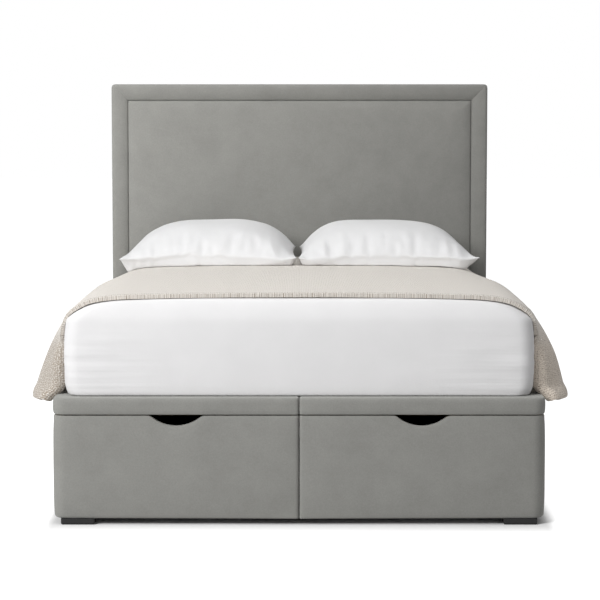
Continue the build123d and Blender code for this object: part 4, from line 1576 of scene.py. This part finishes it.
    def shape(self, flat: Vector) -> Vector:
        """Where a point of the flat cloth lies.

        Args:
            flat: Distance across from the middle, and along from the front edge.

        Returns:
            Its place on the bed.
        """
        sign, drape = (1.0, self.right) if flat.x >= 0 else (-1.0, self.left)
        run, along = self.round_corner(abs(flat.x), flat.y)
        share = along / self.length
        x = through(self.run_x, run)
        z = through(self.run_z, run)
        if x > self.shoulder:
            x = self.shoulder + (x - self.shoulder) * through(drape.flare, share)
        hang = 1.0 - smooth_step(self.hang_low, self.hang_high, z)
        turn = pi / 2 * min(along / self.roll_run, 1.0)
        open_share = smooth_step(self.flare_start, self.flare_end, along)
        if z < self.front_edge[-1][0]:
            clear = self.roll_clear * (1.0 - smooth_step(self.clear_low, self.clear_high, z))
            edge = through(self.front_edge, z)
            edge += clear + hang * self.roll_wide * (1.0 - cos(turn))
            x += (edge - x) * (1.0 - open_share)
        y = self.foot + along + hang * (self.roll_back(along, turn) - along)
        low = smooth_step(self.sag_start, 1.0, run / self.half_run)
        z -= self.sag * low * bell(along, self.sag_place, self.sag_reach)
        puff = drape.puff * sin(pi * share) * bell(x, self.puff_place, self.puff_reach)
        x += (drape.lean * smooth_step(*self.lean_across, x) * smooth_step(*self.lean_up, z)
              * open_share)
        place = Vector((sign * (x + puff * self.puff_out), y, z + puff))
        place.z -= head_fall(place.x, place.y)
        place.z += self.lift / 2 * (1.0 + ripple(place, self.lift_size, 41.0))
        place.z -= self.tuck * (1.0 - smooth_step(0.0, self.tuck_reach, along))
        return place

    def thickness(self, flat: Vector) -> float:
        """How thick the cloth is at a point.

        Args:
            flat: Distance across from the middle, and along from the front edge.

        Returns:
            Its share of the border's thickness.
        """
        swell = 0.0
        side = self.half_run - abs(flat.x)
        for edge, share in ((flat.y, 1.0), (self.length - flat.y, 1.0), (side, self.hem_share)):
            full = 1.0 - smooth_step(self.border_width * self.border_full, self.border_width,
                                     edge)
            swell = max(swell, full * share * smooth_step(self.edge_start, self.edge_full, edge))
        swell *= 1.0 - bell(abs(flat.x), self.thin_run, self.thin_reach)
        return (self.thick + (self.border - self.thick) * swell) / self.border

    def cloth(self) -> Form:
        """Cut the flat cloth, with a map of its own.

        Returns:
            The new form, its X across from the middle and its Y along from the front edge.
        """
        half = self.half_run
        length = self.length
        form = Form()
        bmesh.ops.create_grid(form.mesh, x_segments=1, y_segments=1, size=1.0)
        form.move(lambda p: Vector((p.x * half, (p.y + 1.0) / 2 * length, 0.0)))
        inner = self.rim[-1]
        form.slice(X, [sign * (half - d) for d in self.rim for sign in (-1, 1)])
        form.slice(X, between(-half + inner, half - inner, self.cut_across))
        form.slice(Y, [*self.rim, *self.opening, *[length - d for d in self.rim],
                       *between(self.opening[-1], length - inner, self.cut_along)])
        chart = form.mesh.loops.layers.uv.new("cloth")
        for face in form.mesh.faces:
            for loop in face.loops:
                loop[chart].uv = loop.vert.co.xy
        return form

    def build(self) -> None:
        """Lay the flat cloth over the bed and give it its thickness."""
        form = self.cloth()
        weights = [self.thickness(vert.co) for vert in form.mesh.verts]
        form.move(self.shape)
        piece = form.place("throw_knit", self.finishes.knit, 60.0)
        group = piece.vertex_groups.new(name="border")
        for number, weight in enumerate(weights):
            group.add([number], weight, "REPLACE")
        wall = piece.modifiers.new("wall", "SOLIDIFY")
        wall.thickness = self.border
        wall.offset = 1.0
        wall.vertex_group = group.name
        hem = piece.modifiers.new("hem", "BEVEL")
        hem.width = self.thick * self.hem_round
        hem.segments = self.hem_facets
        hem.limit_method = "ANGLE"
        hem.angle_limit = radians(self.hem_angle)
        finish_modifiers(piece)
        settle(piece, "lid", "throw")


@dataclass
class Pillows:
    """Two plump pillows whose cases are pulled taut by a short cloth simulation."""

    finishes: Finishes
    throw: Throw
    # Ends of the front seam, and how far each is drawn in at the back seam
    inner: float = 0.0020
    outer: float = 0.6765
    inner_back: float = 0.006
    outer_back: float = 0.040
    # Both pillows lie this far to the left
    offset: float = 0.008
    front: float = 0.4060
    depth: float = 0.486
    seam_front: float = 0.7285
    seam_back: float = 0.7550
    seam_bow: float = 0.006
    side_hollow: float = 0.040
    front_hollow: float = 0.030
    # Crown: its height, its lean to the back, and the powers that shape its fall
    crown: float = 0.1145
    crown_back: float = 0.22
    along_powers: tuple[float, float] = (2.8, 0.62)
    inner_powers: tuple[float, float] = (3.1, 0.8)
    left_powers: tuple[float, float] = (2.7, 0.8)
    right_powers: tuple[float, float] = (2.4, 0.82)
    # Widths of the walls below the seam, as shares of half the pillow, and their bulges
    wall: float = 0.10
    inner_wall: float = 0.11
    left_wall: float = 0.18
    right_wall: float = 0.30
    wall_power: float = 1.15
    wall_bulge: float = 0.012
    inner_bulge: float = 0.016
    rest_gap: float = 0.0002
    press: float = 0.022
    press_power: float = 1.8
    # Puckers along the seam and soft dents in the top
    pucker_depth: float = 0.0085
    pucker_size: float = 0.030
    pucker_stretch: float = 0.25
    front_reach: float = 0.42
    end_share: float = 0.4
    end_reach: float = 0.3
    dent_depth: float = 0.0050
    dent_size: float = 0.15
    across: int = 108
    along: int = 70
    seam_join: float = 0.0004
    # Cloth simulation: pressure, frames, stiffness, and the most that it moves a point
    pressure: float = 4.0
    frames: int = 16
    stiffness: float = 14.0
    shear: float = 6.0
    bending: float = 0.12
    mass: float = 0.25
    quality: int = 5
    give: float = 0.010

    def rest(self, x: float, y: float) -> float:
        """Height of the throw's top under a pillow, at a place on the bed."""
        return (through(self.throw.section, abs(x)) - head_fall(x, y) + self.throw.thick
                + self.throw.lift + self.rest_gap)

    def rise(self, u: float, v: float, side: Side) -> float:
        """How far the top layer rises over the seam.

        Args:
            u: Place across, from -1 at the bed's middle to 1 at its outer side.
            v: Place along, from -1 at the front seam to 1 at the back seam.
            side: The pillow's side of the bed.

        Returns:
            Its share of the crown's height.
        """
        outer_powers = self.left_powers if side is Side.LEFT else self.right_powers
        end, fall = self.inner_powers if u < 0 else outer_powers
        late = v - self.crown_back * (1.0 - v * v)
        steep, soft = self.along_powers
        across = (1.0 - abs(u) ** (end + (v + 1.0) / 2)) ** fall
        return across * (1.0 - abs(late) ** steep) ** soft

    def layer(self, u: float, v: float, up: bool, side: Side) -> Vector:
        """Place of a point of the filled case.

        Args:
            u: Place across, from -1 at the bed's middle to 1 at its outer side.
            v: Place along, from -1 at the front seam to 1 at the back seam.
            up: Whether the point is on the top layer.
            side: The pillow's side of the bed.

        Returns:
            The place, as if on the bed's right side.
        """
        back = (v + 1.0) / 2
        inner = self.inner + self.inner_back * back - self.offset * side.value
        width = self.outer - self.outer_back * back - inner
        reach = u * (1.0 - self.side_hollow * (1.0 - v * v) * u * u)
        edge = v * (1.0 - self.front_hollow * 2 * (1.0 - u * u) * v * v)
        seam = self.seam_front + (self.seam_back - self.seam_front) * back
        seam += self.seam_bow * (1.0 - u * u) * v * v
        if up:
            height = seam + self.crown * self.rise(u, v, side)
        else:
            outer_wall = self.left_wall if side is Side.LEFT else self.right_wall
            across = min((1.0 - abs(u)) / (outer_wall if u > 0 else self.inner_wall), 1.0)
            along = min((1.0 - abs(v)) / self.wall, 1.0)
            full = min(self.wall_power * sin(pi / 2 * across) * sin(pi / 2 * along), 1.0)
            under = self.rest(inner + width * ((u + 1.0) / 2), self.front + self.depth * back)
            height = seam - (seam - under) * full
            bulge = self.wall_bulge * 2 / self.depth
            end_bulge = bulge * sin(pi * along) * sin(pi / 2 * across) * (1.0 - u ** 4)
            edge += end_bulge if v > 0 else -end_bulge
            side_bulge = sin(pi * across) * sin(pi / 2 * along) * (1.0 - v * v)
            if u < 0:
                reach -= side_bulge * self.inner_bulge * 2 / width
            elif side is Side.LEFT:
                reach += side_bulge * bulge
        return Vector((inner + width * (reach + 1.0) / 2,
                       self.front + self.depth / 2 * (1.0 + edge), height))

    def case(self, side: Side) -> Form:
        """Make both layers of a filled case, joined at the seam, with puckers along it.

        Args:
            side: The pillow's side of the bed.

        Returns:
            The new form, as if on the bed's right side.
        """
        form = Form()
        seed = 51.0 + 7 * side.value
        for up in (True, False):
            made = bmesh.ops.create_grid(form.mesh, x_segments=self.across,
                                         y_segments=self.along, size=1.0)["verts"]
            for vert in made:
                # The grid is finer near the seam
                u = 0.5 * vert.co.x + 0.5 * sin(pi / 2 * vert.co.x)
                v = 0.4 * vert.co.y + 0.6 * sin(pi / 2 * vert.co.y)
                place = self.layer(min(max(u, -1.0), 1.0), min(max(v, -1.0), 1.0), up, side)
                near = (bell(v, -1.0, self.front_reach)
                        + self.end_share * bell(abs(u), 1.0, self.end_reach))
                inside = 1.0 - max(abs(u), abs(v)) ** 12
                across = Vector((place.x, place.y * self.pucker_stretch,
                                 place.z * self.pucker_stretch))
                fold = self.pucker_depth * near * ripple(across, self.pucker_size, seed)
                soft = self.dent_depth * ripple(place, self.dent_size, seed + 3)
                place.y -= inside * fold
                place.z += inside * (0.5 * fold + soft) * (1.0 if up else 0.0)
                vert.co = place
            if not up:
                faces = {face for vert in made for face in vert.link_faces}
                bmesh.ops.reverse_faces(form.mesh, faces=list(faces))
        bmesh.ops.remove_doubles(form.mesh, verts=form.mesh.verts, dist=self.seam_join)
        bmesh.ops.recalc_face_normals(form.mesh, faces=form.mesh.faces)
        return form

    def inflate(self, piece: bpy.types.Object) -> None:
        """Let the cloth solver fill the case, and keep a capped share of what it moves.

        Args:
            piece: The case, which keeps its overall size.
        """
        start = [vert.co.copy() for vert in piece.data.vertices]
        cloth = piece.modifiers.new("filling", "CLOTH")
        setup = cloth.settings
        setup.quality = self.quality
        setup.mass = self.mass
        setup.tension_stiffness = self.stiffness
        setup.compression_stiffness = self.stiffness
        setup.shear_stiffness = self.shear
        setup.bending_stiffness = self.bending
        setup.use_pressure = True
        setup.uniform_pressure_force = self.pressure
        setup.effector_weights.gravity = 0.0
        cloth.collision_settings.use_collision = False
        scene = bpy.context.scene
        for frame in range(1, self.frames + 1):
            scene.frame_set(frame)
        finish_modifiers(piece)
        scene.frame_set(1)
        filled = []
        for vert, place in zip(piece.data.vertices, start):
            step = vert.co - place
            reach = max(step.length, 1e-9)
            filled.append(place + step * (self.give * (1.0 - exp(-reach / self.give)) / reach))
        for axis in (X, Y, Z):
            low, high = (pick(place[axis] for place in start) for pick in (min, max))
            new_low, new_high = (pick(place[axis] for place in filled) for pick in (min, max))
            scale = (high - low) / (new_high - new_low)
            for vert, place in zip(piece.data.vertices, filled):
                vert.co[axis] = low + (place[axis] - new_low) * scale

    def press_down(self, piece: bpy.types.Object) -> None:
        """Press a pillow's underside onto the throw.

        Args:
            piece: The pillow.
        """
        for vert in piece.data.vertices:
            rest = self.rest(vert.co.x, vert.co.y)
            above = max(vert.co.z - rest, 0.0)
            if above < self.press:
                vert.co.z = rest + self.press * (above / self.press) ** self.press_power

    def pillow(self, side: Side) -> None:
        """Make one pillow.

        Args:
            side: Its side of the bed.
        """
        form = self.case(side).on(side)
        piece = form.place(f"{side.label}_pillow_soft", self.finishes.pillowcase, 70.0)
        self.inflate(piece)
        finer = piece.modifiers.new("finer", "SUBSURF")
        finer.levels = 1
        finer.render_levels = 1
        finish_modifiers(piece)
        self.press_down(piece)
        settle(piece, "lid", f"{side.label}_pillow")

    def build(self) -> None:
        """Build both pillows."""
        for side in Side:
            self.pillow(side)


@dataclass(frozen=True)
class Lamp:
    """Square soft lamp, in metres, watts and degrees."""

    name: str
    place: tuple[float, float, float]
    aim: tuple[float, float, float]
    size: float
    power: float
    # Full angle that a grid lets through
    spread: float = 180.0

    def hang(self) -> None:
        """Put the lamp in the scene."""
        data = bpy.data.lights.new(self.name, "AREA")
        data.shape = "SQUARE"
        data.size = self.size
        data.energy = self.power
        data.spread = radians(self.spread)
        lamp = bpy.data.objects.new(self.name, data)
        lamp.location = self.place
        aim = Vector(self.aim) - Vector(self.place)
        lamp.rotation_euler = aim.to_track_quat("-Z", "Y").to_euler()
        bpy.context.scene.collection.objects.link(lamp)


@dataclass
class Studio:
    """Pale floor, soft lamps, white surroundings and the camera."""

    camera_place: tuple[float, float, float] = (0.0048, -7.1497, 1.1751)
    camera_down: float = 4.549
    camera_turn: float = 0.020
    lens: float = 121.51
    sensor: float = 36.0
    sight: float = 60.0
    floor_size: float = 60.0
    # The floor's colour as light for the bed, and as the camera sees it
    floor_bounce: float = 0.62
    floor_white: float = 0.96
    # Glow round the bed's plan: none beside it, full from glow_end, and slower in front
    bed_half: tuple[float, float, float] = (0.75, 1.04, 0.0)
    floor_glow: float = 0.80
    glow_end: float = 0.055
    front_fade: float = 0.19
    sky: float = 0.30
    lamps: tuple[Lamp, ...] = (
        Lamp("key", (-3.6, -4.6, 3.4), (0.0, -0.4, 0.5), 2.4, 260.0),
        Lamp("side", (-2.7, -0.7, 2.3), (-0.55, 0.95, 1.05), 1.2, 3.4, 80.0),
        Lamp("top", (0.2, -0.9, 4.2), (0.0, -0.3, 0.0), 3.0, 52.0),
    )

    def camera(self) -> None:
        """Create the camera."""
        data = bpy.data.cameras.new("camera")
        data.lens = self.lens
        data.sensor_width = self.sensor
        data.clip_end = self.sight
        camera = bpy.data.objects.new("camera", data)
        camera.location = self.camera_place
        camera.rotation_euler = (radians(90.0 - self.camera_down), 0.0,
                                 radians(self.camera_turn))
        bpy.context.scene.collection.objects.link(camera)
        bpy.context.scene.camera = camera

    def floor(self) -> None:
        """Lay a pale floor that keeps the bed's shadow and glows white away from it."""
        form = Form()
        bmesh.ops.create_grid(form.mesh, x_segments=1, y_segments=1, size=self.floor_size)
        nodes = Nodes("pale_floor")
        seen = nodes.looked_at()
        away = nodes.places((1.0, 1.0, 0.0))
        for kind, value in (("ABSOLUTE", None), ("SUBTRACT", self.bed_half),
                            ("MAXIMUM", (0.0, 0.0, 0.0)),
                            ("MULTIPLY", (1.0, self.front_fade, 0.0)), ("LENGTH", None)):
            step = nodes.add("ShaderNodeVectorMath", operation=kind)
            nodes.join(away, step.inputs[0])
            if value is not None:
                step.inputs[1].default_value = value
            away = step.outputs["Value" if kind == "LENGTH" else "Vector"]
        glow = nodes.spread(away, 0.0, self.floor_glow, 0.0, self.glow_end, "SMOOTHSTEP")
        material = nodes.use(
            Base_Color=nodes.spread(seen, self.floor_bounce, self.floor_white),
            Roughness=0.9,
            Specular_IOR_Level=0.0,
            Emission_Color=(1.0, 1.0, 1.0, 1.0),
            Emission_Strength=nodes.times(seen, glow),
        )
        form.place("floor", material)

    def world(self) -> None:
        """White surroundings: plain white to the camera, dimmer as light."""
        world = bpy.data.worlds.new("surroundings")
        world.use_nodes = True
        tree = Tree(world.node_tree)
        back = world.node_tree.nodes["Background"]
        back.inputs["Color"].default_value = (1.0, 1.0, 1.0, 1.0)
        tree.join(tree.spread(tree.looked_at(), self.sky, 1.0), back.inputs["Strength"])
        bpy.context.scene.world = world

    def build(self) -> None:
        """Set up the camera, the floor and the light."""
        bpy.context.scene.view_settings.view_transform = "Standard"
        self.camera()
        self.floor()
        self.world()
        for lamp in self.lamps:
            lamp.hang()


def main() -> None:
    """Build the studio and the bed."""
    logging.basicConfig(level=logging.INFO, format="%(message)s")
    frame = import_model()
    Studio().build()
    finishes = Finishes()
    finishes.dress_frame(frame["nodes"])
    Divan(finishes).build()
    Headboard(finishes).build()
    Mattress(finishes).build()
    throw = Throw(finishes)
    throw.build()
    Pillows(finishes, throw).build()


if __name__ == "__main__":
    main()
